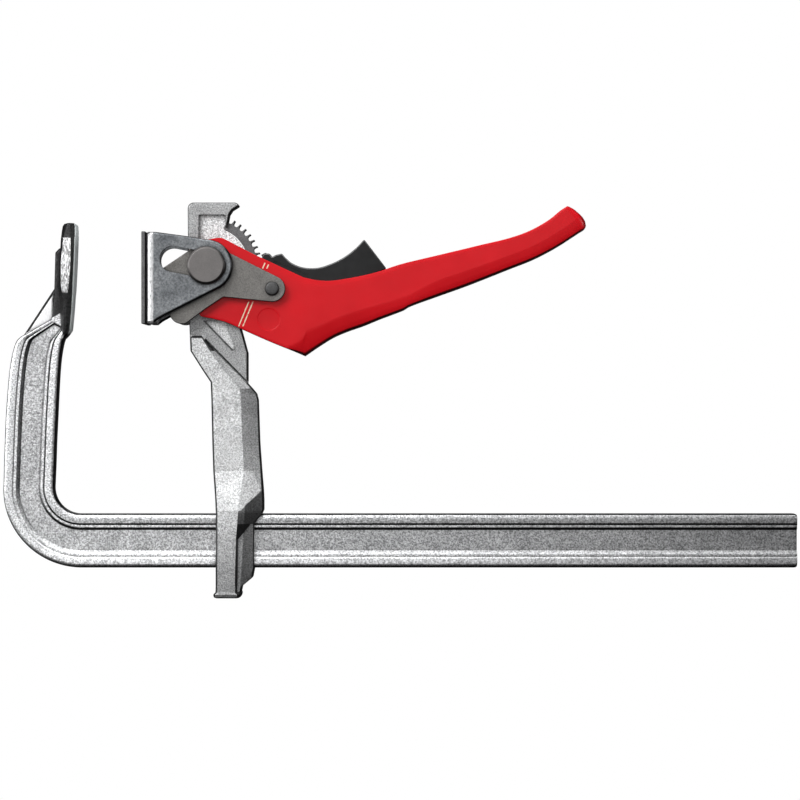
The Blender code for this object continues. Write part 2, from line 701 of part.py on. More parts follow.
def hang_on_frame():
    """Parents every object to one empty, so that the origin is the jaw face's centre."""
    frame = bpy.data.objects.new("clamp_frame", None)
    frame.location = (-JAW_FACE[0] * MM, 0, -JAW_FACE[1] * MM)
    PARTS.objects.link(frame)
    for obj in [*PARTS.objects, *CUTTERS.objects]:
        if obj is not frame:
            obj.parent = frame


make_rail()
make_sliding_arm()
make_segment()
make_segment_rivets()
make_bush()
make_brake_spring()
PIN_HOLE = pin_hole("main_pin_hole", PIN, PIN_R + FIT)
RIVET_HOLE = pin_hole("lever_rivet_hole", RIVET, RIVET_R + FIT, 32)
make_main_pin()
make_pad()
make_handle()
make_cam_plates()
make_lever_rivet()
make_trigger_spring()
make_trigger()
make_pawl()
for lever_piece in ("handle", "cam_plate_front", "cam_plate_rear"):
    set_origin(bpy.data.objects[lever_piece], *PIN)
for trigger_piece in ("trigger", "pawl"):
    set_origin(bpy.data.objects[trigger_piece], *RIVET)
hang_on_frame()
bpy.context.view_layer.update()
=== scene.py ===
"""The looks of a ratchet-lever bar clamp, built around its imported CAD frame.

Outlines are drawn in millimetres, with X from the fixed jaw's face, Z from the rail's inner edge and
Y from the mid-plane. place() moves them onto the frame, whose origin comes from the rail's box.
"""

import json
import math

import bmesh
import bpy
from mathutils import Matrix, Vector


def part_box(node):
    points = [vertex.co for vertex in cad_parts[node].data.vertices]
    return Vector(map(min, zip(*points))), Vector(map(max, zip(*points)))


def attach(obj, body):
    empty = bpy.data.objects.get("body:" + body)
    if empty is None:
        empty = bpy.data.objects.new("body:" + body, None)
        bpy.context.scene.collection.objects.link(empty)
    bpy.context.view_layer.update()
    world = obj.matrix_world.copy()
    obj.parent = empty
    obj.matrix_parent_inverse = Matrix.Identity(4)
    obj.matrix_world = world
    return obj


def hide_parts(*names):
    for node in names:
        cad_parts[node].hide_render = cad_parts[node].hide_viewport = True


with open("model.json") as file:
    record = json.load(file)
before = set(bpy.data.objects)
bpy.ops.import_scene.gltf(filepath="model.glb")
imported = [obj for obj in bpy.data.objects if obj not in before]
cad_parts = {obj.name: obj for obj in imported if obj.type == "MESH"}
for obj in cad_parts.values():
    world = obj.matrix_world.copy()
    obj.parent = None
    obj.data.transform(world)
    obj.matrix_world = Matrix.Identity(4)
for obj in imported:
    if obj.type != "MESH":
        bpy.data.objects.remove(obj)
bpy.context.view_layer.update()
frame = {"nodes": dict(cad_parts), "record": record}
MM = 0.001

# Driving dimensions (mm).
RAIL_DEEP = 22.4
RAIL_HALF = 5.25
RAIL_END = 301.0
LEG_SHRINK = 0.94
PIN = (55.4, 103.1)
PIN_R = 5.25
PIN_HEAD_R = 7.9
RIVET = (82.4, 93.6)
RIVET_R = 2.2
TOOTH_TIP_R = 22.25
TOOTH_ROOT_R = 20.2
TOOTH_INNER_R = 16.9
TOOTH_STEP = 7.5
TOOTH_TOP = 60.0
TOOTH_COUNT = 11
TOOTH_BOTTOM = TOOTH_TOP - TOOTH_STEP * TOOTH_COUNT
SEGMENT_TAIL = 8.0
SEGMENT_HALF = 3.0
ARM_HEAD_HALF = 5.4
ARM_WEB_HALF = 2.6
BUSH_R = 7.2
HANDLE_IN = 7.2
HANDLE_OUT = 9.4
CAM_IN = 9.7
CAM_OUT = 12.7
CHEEK_IN = 13.0
CHEEK_OUT = 16.0
PIN_HEAD_OUT = 19.3
PIN_END_R = 4.0
RIVET_HEAD_R = 2.9
PAD_FACE_X = 27.9
PAD_INNER_X = 30.25
PAD_BEND_R = 2.9
SLOT_TILT = -11.0
SLOT_R = 5.45
SLOT_REACH = 14.2
SLOT_REACH_REAR = 15.9
SLOT_GAP = 0.35
HOLE_GAP = 0.08

RAIL_LOW, RAIL_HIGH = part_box("rail")
ORIGIN = Vector((RAIL_HIGH.x - RAIL_END * MM, 0, RAIL_LOW.z + RAIL_DEEP * MM))

# How far cutters reach to either side of the mid-plane (mm), past whatever they cut.
BORE_REACH = 30
TRIM_REACH = 20
RECESS_REACH = 9.0

# Shape helpers.


def polar(centre, radius, degrees):
    angle = math.radians(degrees)
    return (centre[0] + radius * math.cos(angle), centre[1] + radius * math.sin(angle))


def arc(centre, radius, start, stop, steps):
    return [polar(centre, radius, start + (stop - start) * i / steps) for i in range(steps + 1)]


def turn_about(point, centre, degrees):
    offset = Matrix.Rotation(math.radians(degrees), 2) @ (Vector(point) - Vector(centre))
    return tuple(Vector(centre) + offset)


def rounded(points, steps=6):
    """An outline whose corners with a third number are filleted to that radius."""
    outline = []
    for i, point in enumerate(points):
        corner = Vector(point[:2])
        if len(point) < 3:
            outline.append(tuple(corner))
            continue
        before = Vector(points[i - 1][:2]) - corner
        after = Vector(points[(i + 1) % len(points)][:2]) - corner
        half = before.angle(after) / 2
        reach = min(point[2] / math.tan(half), 0.48 * before.length, 0.48 * after.length)
        radius = reach * math.tan(half)
        middle = corner + (before.normalized() + after.normalized()).normalized() * radius / math.sin(half)
        first = corner + before.normalized() * reach - middle
        last = corner + after.normalized() * reach - middle
        turn = first.angle_signed(last)
        for k in range(steps + 1):
            outline.append(tuple(middle + Matrix.Rotation(-turn * k / steps, 2) @ first))
    return outline


def spline_through(points, steps):
    """A smooth line of any dimension through the points, with so many steps in each stretch."""
    line = []
    vectors = [Vector(p) for p in points]
    for i in range(len(vectors) - 1):
        b, c = vectors[i], vectors[i + 1]
        a = vectors[i - 1] if i else b * 2 - c
        d = vectors[i + 2] if i + 2 < len(vectors) else c * 2 - b
        for k in range(steps):
            t = k / steps
            line.append(0.5 * (2 * b + (c - a) * t + (2 * a - 5 * b + 4 * c - d) * t * t
                               + (3 * b - a - 3 * c + d) * t ** 3))
    line.append(vectors[-1])
    return line


def place(mesh):
    """From drawing millimetres to the frame's metres."""
    mesh.transform(Matrix.Translation(ORIGIN) @ Matrix.Scale(MM, 4))


def new_object(name, data):
    obj = bpy.data.objects.new(name, data)
    bpy.context.scene.collection.objects.link(obj)
    return obj


def evaluated_mesh(obj):
    """A copy of the object's mesh with its modifiers applied."""
    graph = bpy.context.evaluated_depsgraph_get()
    return bpy.data.meshes.new_from_object(obj.evaluated_get(graph))


def object_from(name, bm):
    """A new object from a bmesh in drawing millimetres."""
    bmesh.ops.remove_doubles(bm, verts=bm.verts, dist=1e-3)
    bmesh.ops.recalc_face_normals(bm, faces=bm.faces)
    mesh = bpy.data.meshes.new(name)
    bm.to_mesh(mesh)
    bm.free()
    place(mesh)
    return new_object(name, mesh)


def prism(name, outline, y_low, y_high):
    """A flat outline in X and Z, given thickness from y_low to y_high."""
    curve = bpy.data.curves.new(name, "CURVE")
    curve.dimensions = "2D"
    curve.fill_mode = "BOTH"
    curve.extrude = (y_high - y_low) / 2
    spline = curve.splines.new("POLY")
    spline.points.add(len(outline) - 1)
    for slot, (x, z) in zip(spline.points, outline):
        slot.co = (x, z, 0, 1)
    spline.use_cyclic_u = True
    guide = new_object(name, curve)
    mesh = evaluated_mesh(guide)
    middle = Matrix.Translation((0, (y_low + y_high) / 2, 0))
    mesh.transform(middle @ Matrix.Rotation(math.pi / 2, 4, "X"))
    bpy.data.objects.remove(guide)
    bm = bmesh.new()
    bm.from_mesh(mesh)
    bpy.data.meshes.remove(mesh)
    bmesh.ops.remove_doubles(bm, verts=bm.verts, dist=1e-4)
    bmesh.ops.dissolve_limit(bm, angle_limit=math.radians(0.5), verts=bm.verts, edges=bm.edges)
    return object_from(name, bm)


def skin(name, rings, closed=True, caps=True):
    """A skin over rings of (x, y, z) points."""
    bm = bmesh.new()
    rows = [[bm.verts.new(point) for point in ring] for ring in rings]
    for lower, upper in zip(rows, rows[1:]):
        count = len(lower)
        for i in range(count if closed else count - 1):
            j = (i + 1) % count
            bm.faces.new((lower[i], lower[j], upper[j], upper[i]))
    if caps:
        bm.faces.new(rows[0])
        bm.faces.new(rows[-1])
    return object_from(name, bm)


def turned(name, profile, centre, steps=64):
    """A profile of (radius, y) points turned about a Y axis through centre."""
    bm = bmesh.new()
    verts = [bm.verts.new((centre[0] + radius, y, centre[1])) for radius, y in profile]
    edges = [bm.edges.new(pair) for pair in zip(verts, verts[1:])]
    if profile[0][0] > 0:
        edges.append(bm.edges.new((verts[-1], verts[0])))
    bmesh.ops.spin(bm, geom=verts + edges, cent=(centre[0], 0, centre[1]), axis=(0, 1, 0), angle=2 * math.pi,
                   steps=steps, use_merge=True)
    return object_from(name, bm)


def box_between(name, low, high):
    """A box between two corners."""
    low, high = Vector(low), Vector(high)
    bm = bmesh.new()
    bmesh.ops.create_cube(bm, size=1.0)
    shape = Matrix.Translation((low + high) / 2) @ Matrix.Diagonal((*(high - low), 1))
    bmesh.ops.transform(bm, matrix=shape, verts=bm.verts)
    return object_from(name, bm)


def bake(obj):
    """Applies the object's modifiers to its mesh."""
    mesh = evaluated_mesh(obj)
    obj.modifiers.clear()
    obj.data = mesh
    return obj


def combine(obj, other, operation):
    boolean = obj.modifiers.new(operation, "BOOLEAN")
    boolean.object = other
    boolean.operation = operation
    boolean.solver = "EXACT"
    bake(obj)
    bpy.data.objects.remove(other)
    return obj


def cut(obj, *others):
    for other in others:
        combine(obj, other, "DIFFERENCE")
    return obj


def soften(obj, width, segments=3, degrees=30, clamp=True):
    """Rounds the sharp edges. Without the clamp, no rounded corner may be tighter than the width."""
    made = obj.modifiers.new("soften", "BEVEL")
    made.width = width * MM
    made.segments = segments
    made.limit_method = "ANGLE"
    made.angle_limit = math.radians(degrees)
    made.use_clamp_overlap = clamp
    return bake(obj)


def pin_hole(centre, radius, steps=48):
    profile = [(0, -BORE_REACH), (radius, -BORE_REACH), (radius, BORE_REACH), (0, BORE_REACH)]
    return turned("hole", profile, centre, steps)


def rivet_hole():
    return pin_hole(RIVET, RIVET_R + HOLE_GAP, 32)


def on_side(side, near, far):
    """The low and high Y of a layer on one side of the mid-plane."""
    return sorted((side * near, side * far))


def mirrored_ring(side, height):
    """A closed horizontal ring from half of it: (x, y) points, of which the first and last have no twin."""
    front = [(x, -y, height) for x, y in side]
    return front + [(x, y, height) for x, y in reversed(side[1:-1])]


def set_material(obj, mat):
    obj.data.materials.clear()
    obj.data.materials.append(mat)


# Materials.

# The grey of the painted highlights on the jaw's flats.
JAW_HIGHLIGHT_GREY = (0.9, 0.9, 0.91)
# Points on the arm's neck and knee, and how far right, at the rail, the painted shade on its cheek begins.
NECK = (54.4, 72.7)
KNEE = (68.1, 1.5)
CHEEK_FROM = 70.453
# The first pinstripe's line, and (middle, half length) of the stretches that are shown, up from its foot.
STRIPE_FOOT = (68.5, 78.4)
STRIPE_TOP = (79.2, 104.2)
STRIPE_STRETCHES = ((4.9, 5.2), (25.1, 1.4))
STRIPE_APART = 1.75
STRIPE_WIDE = 0.5


def feed(target, value):
    """Links a socket, or sets a plain value."""
    if isinstance(value, bpy.types.NodeSocket):
        target.id_data.links.new(value, target)
    else:
        target.default_value = value


def new_node(tree, kind, feeds=None, **settings):
    """A node with its settings, and with inputs fed by their name or place."""
    made = tree.nodes.new(kind)
    for key, value in settings.items():
        setattr(made, key, value)
    for slot, value in (feeds or {}).items():
        feed(made.inputs[slot], value)
    return made


class Paint:
    """A Principled material with short calls for its nodes. Lengths in its textures are millimetres."""

    def __init__(self, name):
        self.mat = bpy.data.materials.new(name)
        self.mat.use_nodes = True
        self.shader = self.mat.node_tree.nodes["Principled BSDF"]
        self.mm = self.scale(self.node("ShaderNodeTexCoord").outputs["Object"], 1 / MM)

    def node(self, kind, feeds=None, **settings):
        return new_node(self.mat.node_tree, kind, feeds, **settings)

    def noise(self, size, detail, rough, stretch=(1, 1, 1), shift=0.0):
        """Noise whose features are about size mm across, longer along a stretched axis."""
        scale = [1 / (size * s) for s in stretch]
        moved = self.node("ShaderNodeMapping", {"Vector": self.mm, "Location": (shift,) * 3, "Scale": scale})
        feeds = {"Vector": moved.outputs[0], "Scale": 1.0, "Detail": detail, "Roughness": rough}
        return self.node("ShaderNodeTexNoise", feeds).outputs["Fac"]

    def span(self, value, low, high, out_low=0.0, out_high=1.0):
        """The value's place between low and high, clamped and mapped to the outer two."""
        feeds = {"From Min": low, "From Max": high, "To Min": out_low, "To Max": out_high, "Value": value}
        return self.node("ShaderNodeMapRange", feeds, clamp=True).outputs[0]

    def maths(self, operation, a, b=0.0, c=0.0):
        return self.node("ShaderNodeMath", {0: a, 1: b, 2: c}, operation=operation).outputs[0]

    def plus(self, a, b):
        return self.maths("ADD", a, b)

    def minus(self, a, b):
        return self.maths("SUBTRACT", a, b)

    def times(self, a, b):
        return self.maths("MULTIPLY", a, b)

    def unsigned(self, value):
        """The value without its sign."""
        return self.maths("ABSOLUTE", value)

    def parts(self, vector):
        return self.node("ShaderNodeSeparateXYZ", {0: vector}).outputs[:]

    def drawn(self):
        """The point's X, Y and Z in the drawing."""
        feeds = {0: self.mm, 1: ORIGIN / MM}
        return self.parts(self.node("ShaderNodeVectorMath", feeds, operation="SUBTRACT").outputs[0])

    def blend(self, amount, first, second):
        made = self.node("ShaderNodeMix", {"Factor": amount}, data_type="RGBA")
        for name, value in (("A", first), ("B", second)):
            slot = [s for s in made.inputs if s.name == name and s.type == "RGBA"][0]
            feed(slot, (*value, 1.0) if isinstance(value, tuple) else value)
        return [s for s in made.outputs if s.type == "RGBA"][0]

    def scale(self, colour, factor):
        """The colour or the vector times a number."""
        return self.node("ShaderNodeVectorMath", {0: colour, "Scale": factor}, operation="SCALE").outputs[0]

    def surface_normal(self):
        """The three parts of the surface's direction, before any bump."""
        world = self.node("ShaderNodeNewGeometry").outputs["Normal"]
        local = self.node("ShaderNodeVectorTransform", {0: world}, vector_type="NORMAL",
                          convert_from="WORLD", convert_to="OBJECT")
        return self.parts(local.outputs[0])

    def grooves(self, distance):
        """1 in the open and 0 deep in a corner."""
        return self.node("ShaderNodeAmbientOcclusion", {"Distance": distance * MM}, samples=6).outputs["AO"]

    def edges(self, radius):
        """1 on an outer edge and 0 on a flat."""
        bevel = self.node("ShaderNodeBevel", {"Radius": radius * MM}, samples=4)
        feeds = {0: bevel.outputs[0], 1: self.node("ShaderNodeNewGeometry").outputs["Normal"]}
        dot = self.node("ShaderNodeVectorMath", feeds, operation="DOT_PRODUCT")
        return self.span(dot.outputs["Value"], 0.995, 0.9)

    def bump(self, height, depth):
        made = self.node("ShaderNodeBump", {"Strength": 1.0, "Distance": depth * MM, "Height": height})
        feed(self.shader.inputs["Normal"], made.outputs[0])

    def done(self, colour, roughness, metallic=0.0, specular=0.5):
        """Feeds the shader and gives back the material."""
        feeds = {"Base Color": colour, "Roughness": roughness, "Metallic": metallic,
                 "Specular IOR Level": specular}
        for name, value in feeds.items():
            feed(self.shader.inputs[name], value)
        return self.mat


def form_shade(paint, colour, outline, shaded):
    """Dark round the outline and on the sides turned down and to the right, bright on those turned up.

    Each pair is how squarely a surface faces the front or back as its darkness ends: outline anywhere,
    and shaded on the sides in shade.
    """
    normal = paint.surface_normal()
    lean = paint.maths("MULTIPLY_ADD", normal[0], -0.55, paint.times(normal[2], 0.83))
    facing = paint.unsigned(normal[1])
    colour = paint.scale(colour, paint.span(lean, -0.4, -0.03, 0.2, 1.0))
    colour = paint.scale(colour, paint.span(lean, 0.05, 0.5, 1.0, 1.4))
    away = paint.times(paint.span(facing, *shaded, 0.88, 0.0), paint.span(lean, 0.15, 0.0))
    colour = paint.scale(colour, paint.minus(1.0, away))
    upper_side = paint.times(paint.span(facing, 0.1, 0.04), paint.span(lean, 0.2, 0.45, 0.0, 0.6))
    rim = paint.span(facing, *outline, 0.07, 1.0)
    return paint.scale(colour, paint.maths("MAXIMUM", rim, upper_side))


def metal(name, light, dark, roughness, speckle, grain=0.0, grain_size=0.6, shine=0.5, tint=None,
          outline=(0.45, 0.8), shaded=(0.6, 0.85)):
    """Bare or plated steel: blotches, fine grain, painted shade in the corners, and painted shade and
    highlights by which way each side faces, darkest round the outline.
    """
    paint = Paint(name)
    cloud = paint.span(paint.noise(7.0, 4, 0.6), 0.3, 0.7)
    colour = paint.blend(cloud, dark, light)
    spots = paint.span(paint.noise(grain_size, 2, 0.7, shift=4.0), 0.36, 0.64, 1 - speckle, 1 + speckle)
    colour = paint.scale(colour, spots)
    # Painted shade and highlights, by which way each surface faces.
    colour = form_shade(paint, colour, outline, shaded)
    if tint:
        colour = tint(paint, colour)
    # Painted shade: darker in corners and creases, where shade falls.
    colour = paint.scale(colour, paint.span(paint.grooves(1.6), 0.35, 0.9, 0.15, 1.0))
    if grain:
        paint.bump(paint.noise(grain_size, 3, 0.6, shift=9.0), grain)
    rough = paint.span(paint.noise(2.5, 4, 0.7, shift=7.0), 0.25, 0.75, roughness - 0.07, roughness + 0.1)
    return paint.done(colour, rough, shine(paint) if callable(shine) else shine)


def darker_rims(paint, colour):
    """The arm's raised rims are greyer than its pockets and its leg; the cheek beside its foot carries
    painted shade, and the arm grows darker towards its foot.
    """
    x, y, z = paint.drawn()
    away = paint.unsigned(y)
    along = paint.times(paint.minus(x, NECK[0]), 0.701)
    above_neck = paint.maths("MULTIPLY_ADD", paint.minus(z, NECK[1]), 0.713, along)
    slope = paint.times(paint.span(above_neck, -0.1, 0.2), paint.span(z, NECK[1] - 22, NECK[1] - 17))
    slope = paint.times(slope, paint.span(x, NECK[0] - 1.0, NECK[0]))
    head = paint.maths("MAXIMUM", slope, paint.span(z, 74.3, 74.6))
    rims = paint.times(head, paint.span(away, 3.9, 4.4))
    # Painted shadow of the front bar on the cheek beside the foot.
    slant = paint.times(paint.minus(x, KNEE[0]), -0.83)
    below_knee = paint.span(paint.plus(paint.minus(z, KNEE[1]), slant), 0.2, -0.4)
    right = paint.maths("MULTIPLY_ADD", z, -0.06, x)
    cheek = paint.times(below_knee, paint.span(right, CHEEK_FROM, CHEEK_FROM + 0.6))
    cheek = paint.times(cheek, paint.span(away, 10.25, 9.9))
    colour = paint.scale(colour, paint.span(z, -34.2, 2.0, 0.42, 1.0))
    colour = paint.scale(colour, paint.span(away, 3.4, 3.9, 1.2, 1.0))
    grey_rims_and_cheek_shade = paint.times(paint.span(rims, 0, 1, 1.05, 0.6), paint.span(cheek, 0, 1, 1.0, 0.3))
    return paint.scale(colour, grey_rims_and_cheek_shade)


def jaw_face(paint):
    """1 on the jaw's pressing face."""
    spot = paint.drawn()
    place = paint.times(paint.span(spot[2], 74, 75), paint.span(spot[0], -3.2, -2.4))
    return paint.times(place, paint.span(paint.surface_normal()[0], 0.6, 0.8))


def jaw_face_not_metal(paint):
    """Metallic all over the bar, but not on the jaw's pressing face, whose pale colour is partly painted
    reflection.
    """
    return paint.span(jaw_face(paint), 0, 1, 0.9, 0.0)


def bar_tint(paint, colour):
    """Darker towards the free end and on the web, with painted dark reflections over the jaw, painted
    highlights on its flats, and a face that is pale partly as machined steel and partly as painted
    reflection.
    """
    x, y, z = paint.drawn()
    away = paint.unsigned(y)
    colour = paint.scale(colour, paint.span(x, 20, RAIL_END, 1.0, 0.36))
    colour = paint.scale(colour, paint.span(away, 3.4, 3.9, 0.82, 1.12))
    facing = paint.unsigned(paint.surface_normal()[1])
    crease = paint.times(paint.plus(x, 21.9), -0.494)
    above = paint.maths("MULTIPLY_ADD", paint.minus(z, 74.6), 0.869, crease)
    # Painted dark reflection over the jaw, with painted highlights on its flats and gusset.
    blade = paint.times(paint.span(z, 71, 72), paint.span(away, 5.9, 6.2))
    jaw = paint.maths("MAXIMUM", paint.span(above, 0.0, 0.25), blade)
    flat = paint.span(facing, 0.9, 0.97)
    band = paint.times(flat, paint.span(away, 7.8, 8.05))
    gusset = paint.times(paint.span(facing, 0.95, 0.99), paint.span(away, 3.3, 3.0))
    # Where along the gusset its painted highlight shows; beyond that the jaw keeps its painted dark
    # reflection.
    ragged = paint.plus(x, paint.noise(1.6, 3, 0.6, shift=1.0))
    shade = paint.times(paint.span(ragged, -8.9, -9.9), paint.span(ragged, -20.0, -17.0))
    flat_highlight = paint.maths("MAXIMUM", band, paint.times(gusset, shade))
    mottle = paint.span(paint.noise(0.9, 3, 0.7, shift=6.0), 0.3, 0.75, 0.02, 0.06)
    streaks = paint.span(paint.noise(0.4, 3, 0.7, stretch=(1, 1, 4), shift=8.0), 0.42, 0.56)
    bright = paint.blend(streaks, (0.2, 0.2, 0.2), JAW_HIGHLIGHT_GREY)
    bright = paint.blend(paint.times(gusset, 0.8), bright, JAW_HIGHLIGHT_GREY)
    jaw_painted_reflections = paint.blend(flat_highlight, paint.scale((0.9, 0.9, 0.92), mottle), bright)
    # The face is pale partly as machined steel and partly as painted reflection.
    return paint.blend(jaw_face(paint), paint.blend(jaw, colour, jaw_painted_reflections), (0.94, 1.0, 1.0))


def bend_tint(paint, colour):
    """The pad's folded corners carry a streaked painted highlight."""
    ragged = paint.plus(paint.drawn()[0], paint.noise(0.8, 2, 0.6, stretch=(1, 1, 6), shift=3.0))
    # Painted highlight on the bend, broken into streaks.
    highlight_streaks = paint.span(paint.noise(0.6, 3, 0.7, stretch=(1, 1, 3), shift=2.0), 0.3, 0.5)
    bend_highlight = paint.blend(highlight_streaks, (0.22, 0.22, 0.23), (0.66, 0.66, 0.67))
    return paint.blend(paint.span(ragged, PAD_INNER_X + 3.9, PAD_INNER_X + 3.2), colour, bend_highlight)


def red_enamel():
    """Red coating with a faint orange peel, painted highlights on its edges, painted shade in its corners,
    underneath and on its sides turned to the right, and two cream pinstripes.
    """
    paint = Paint("red_enamel")
    cloud = paint.span(paint.noise(14.0, 3, 0.5), 0.3, 0.7)
    colour = paint.blend(cloud, (0.55, 0.005, 0.010), (0.61, 0.006, 0.012))
    # Painted shade: darker red in corners and close beside other parts.
    clear_of_corner_shade = paint.span(paint.grooves(0.8), 0.1, 0.6)
    colour = paint.blend(clear_of_corner_shade, (0.2, 0.003, 0.004), colour)
    # Painted highlight: brighter red along the outer edges.
    colour = paint.blend(paint.times(paint.edges(0.6), 0.5), colour, (0.86, 0.02, 0.03))
    normal = paint.surface_normal()
    # Painted shade on the sides turned down and on those turned to the right.
    colour = paint.scale(colour, paint.span(normal[2], -0.75, -0.45, 0.06, 1.0))
    colour = paint.scale(colour, paint.span(normal[0], 0.5, 0.85, 1.0, 0.4))
    x, y, z = paint.drawn()
    lean = (STRIPE_TOP[0] - STRIPE_FOOT[0]) / (STRIPE_TOP[1] - STRIPE_FOOT[1])
    rise = paint.minus(z, STRIPE_FOOT[1])
    across = paint.minus(x, paint.maths("MULTIPLY_ADD", rise, lean, STRIPE_FOOT[0]))
    outside = paint.maths("GREATER_THAN", paint.unsigned(y), HANDLE_OUT - 0.25)
    shown = paint.plus(*(paint.maths("COMPARE", rise, *stretch) for stretch in STRIPE_STRETCHES))
    chips = paint.span(paint.noise(0.8, 3, 0.6, shift=3.0), 0.3, 0.42)
    for offset in (0.0, STRIPE_APART):
        gap = paint.unsigned(paint.minus(across, offset))
        line = paint.span(gap, STRIPE_WIDE / 2 + 0.08, STRIPE_WIDE / 2 - 0.08)
        line = paint.times(line, paint.times(outside, shown))
        colour = paint.blend(paint.times(line, chips), colour, (0.8, 0.68, 0.5))
    paint.bump(paint.noise(1.6, 2, 0.5), 0.02)
    rough = paint.span(paint.noise(5.0, 4, 0.6, shift=5.0), 0.3, 0.7, 0.3, 0.42)
    return paint.done(colour, rough, specular=0.14)


def black_plastic():
    """Satin moulded plastic, with a painted highlight on its rounded upper edges, painted shade round its
    outline, and darker towards its right end.
    """
    paint = Paint("black_plastic")
    cloud = paint.span(paint.noise(7.0, 4, 0.6), 0.3, 0.7)
    colour = paint.blend(cloud, (0.007, 0.0073, 0.008), (0.012, 0.0125, 0.0135))
    normal = paint.surface_normal()
    facing = paint.unsigned(normal[1])
    # Painted highlight along the rounded upper edges.
    rim = paint.times(paint.span(facing, 0.45, 0.65), paint.span(facing, 0.985, 0.94))
    rim = paint.times(rim, paint.span(normal[2], 0.05, 0.3))
    colour = paint.blend(rim, paint.scale(colour, 0.75), (0.16, 0.16, 0.163))
    # Painted shade round the outline.
    colour = paint.scale(colour, paint.span(facing, 0.3, 0.7, 0.25, 1.0))
    colour = paint.scale(colour, paint.span(paint.drawn()[0], 116, 129, 1.0, 0.3))
    paint.bump(paint.noise(0.3, 2, 0.5), 0.03)
    rough = paint.span(paint.noise(3.0, 3, 0.6, shift=5.0), 0.3, 0.7, 0.36, 0.5)
    return paint.done(colour, rough, specular=0.24)


# Rail, fixed arm and fixed jaw.

BEND_CENTRE = (2.0, 11.0)
BEND_R = 11.0
BEND_STEPS = 48
BAR_EDGE_R = 1.7
LEG_LEAN = 2.7
LEG_SECTIONS = [
    # inner x, z, outer x, z, and thickness; the last ones fan round into the jaw's foot
    (-8.55, 22.0, -29.75, 22.5, LEG_SHRINK), (-8.3, 30.0, -29.45, 31.0, LEG_SHRINK),
    (-7.8, 40.5, -29.0, 41.5, LEG_SHRINK), (-7.2, 53.0, -28.1, 54.0, LEG_SHRINK),
    (-6.7, 61.0, -27.2, 62.0, LEG_SHRINK), (-6.1, 66.5, -26.1, 67.8, LEG_SHRINK),
    (-5.4, 70.4, -24.6, 72.0, 0.96), (-5.0, 72.0, -23.0, 73.7, 0.98), (-4.6, 73.2, -20.6, 75.1, 1.0),
    (-4.3, 74.4, -16.8, 77.3, 1.0), (-4.0, 75.8, -12.4, 79.8, 0.96), (-3.7, 77.4, -9.0, 81.4, 0.9),
    (-3.4, 79.0, -5.6, 81.8, 0.7),
]


def bar_side():
    """Half of the bar's section, with two beaded grooves: (distance from the inner edge, half thickness)."""
    flange, web = RAIL_HALF, RAIL_HALF - 2.0
    edge = [polar((BAR_EDGE_R, flange - BAR_EDGE_R), BAR_EDGE_R, 180 - a) for a in range(0, 86, 12)]
    halves = []
    for bead, valley, foot in ((flange - 0.7, 0.25, 6.75), (flange - 0.55, 0.05, 7.25)):
        halves.append(edge + [(1.75, flange), (2.4, flange - 0.01), (3.8, flange - 0.14),
                              (3.95, flange - 0.2), (4.5, bead - valley), (4.75, bead - 0.03), (4.95, bead),
                              (5.55, bead), (5.7, bead - 0.06), (foot, web - 0.02), (foot + 0.2, web)])
    far = [(RAIL_DEEP - across, half) for across, half in reversed(halves[1])]
    return halves[0] + [(RAIL_DEEP / 2, web)] + far


def bar_ring(inner, outer, thick):
    """The bar's cross-section between two points of the drawing."""
    inner, outer = Vector(inner), Vector(outer)
    side = bar_side()
    ring = []
    for across, half in side + [(a, -h) for a, h in reversed(side)]:
        spot = inner.lerp(outer, across / RAIL_DEEP)
        ring.append((spot.x, -half * thick, spot.y))
    return ring


def make_bar():
    """The profile swept along the rail, round the bend, up the fixed arm and into the jaw's foot."""
    rings = []
    for back, size in ((0.0, 0.93), (0.15, 0.965), (0.6, 0.992), (1.4, 1.0)):
        spare = (1 - size) * RAIL_DEEP / 2
        rings.append(bar_ring((RAIL_END - back, -spare), (RAIL_END - back, spare - RAIL_DEEP), size))
    rings += [bar_ring((x, 0), (x, -RAIL_DEEP), 1.0) for x in range(280, 10, -20)]
    for i in range(BEND_STEPS + 1):
        part = i / BEND_STEPS
        size = 1.0 + (LEG_SHRINK - 1.0) * part
        turn = -90 - (90 + LEG_LEAN) * part
        inner, outer = (polar(BEND_CENTRE, radius, turn) for radius in (BEND_R, BEND_R + RAIL_DEEP * size))
        rings.append(bar_ring(inner, outer, size))
    for section in spline_through([(*inner, *outer, size)] + LEG_SECTIONS, 4)[1:]:
        rings.append(bar_ring(section[0:2], section[2:4], section[4]))
    return skin("bar", rings)


def blade_ring(z, face, back, half, crest):
    """A horizontal section of the pressing blade: flat face, slanted cheeks with a flat band, and a back."""
    mid = (face + back) / 2
    side = [(face, 0.0), (face, half - 1.5), (face - 0.12, half - 1.1), (face - 0.5, half - 0.75),
            (mid + 1.35 * crest, half), (mid + 1.15 * crest, half + 0.02), (mid - 1.6 * crest, half + 0.02),
            (mid - 1.8 * crest, half), (back + 0.35, half - 2.3), (back + 0.1, half - 2.9),
            (back, half - 3.5), (back, 0.0)]
    return mirrored_ring(side, z)


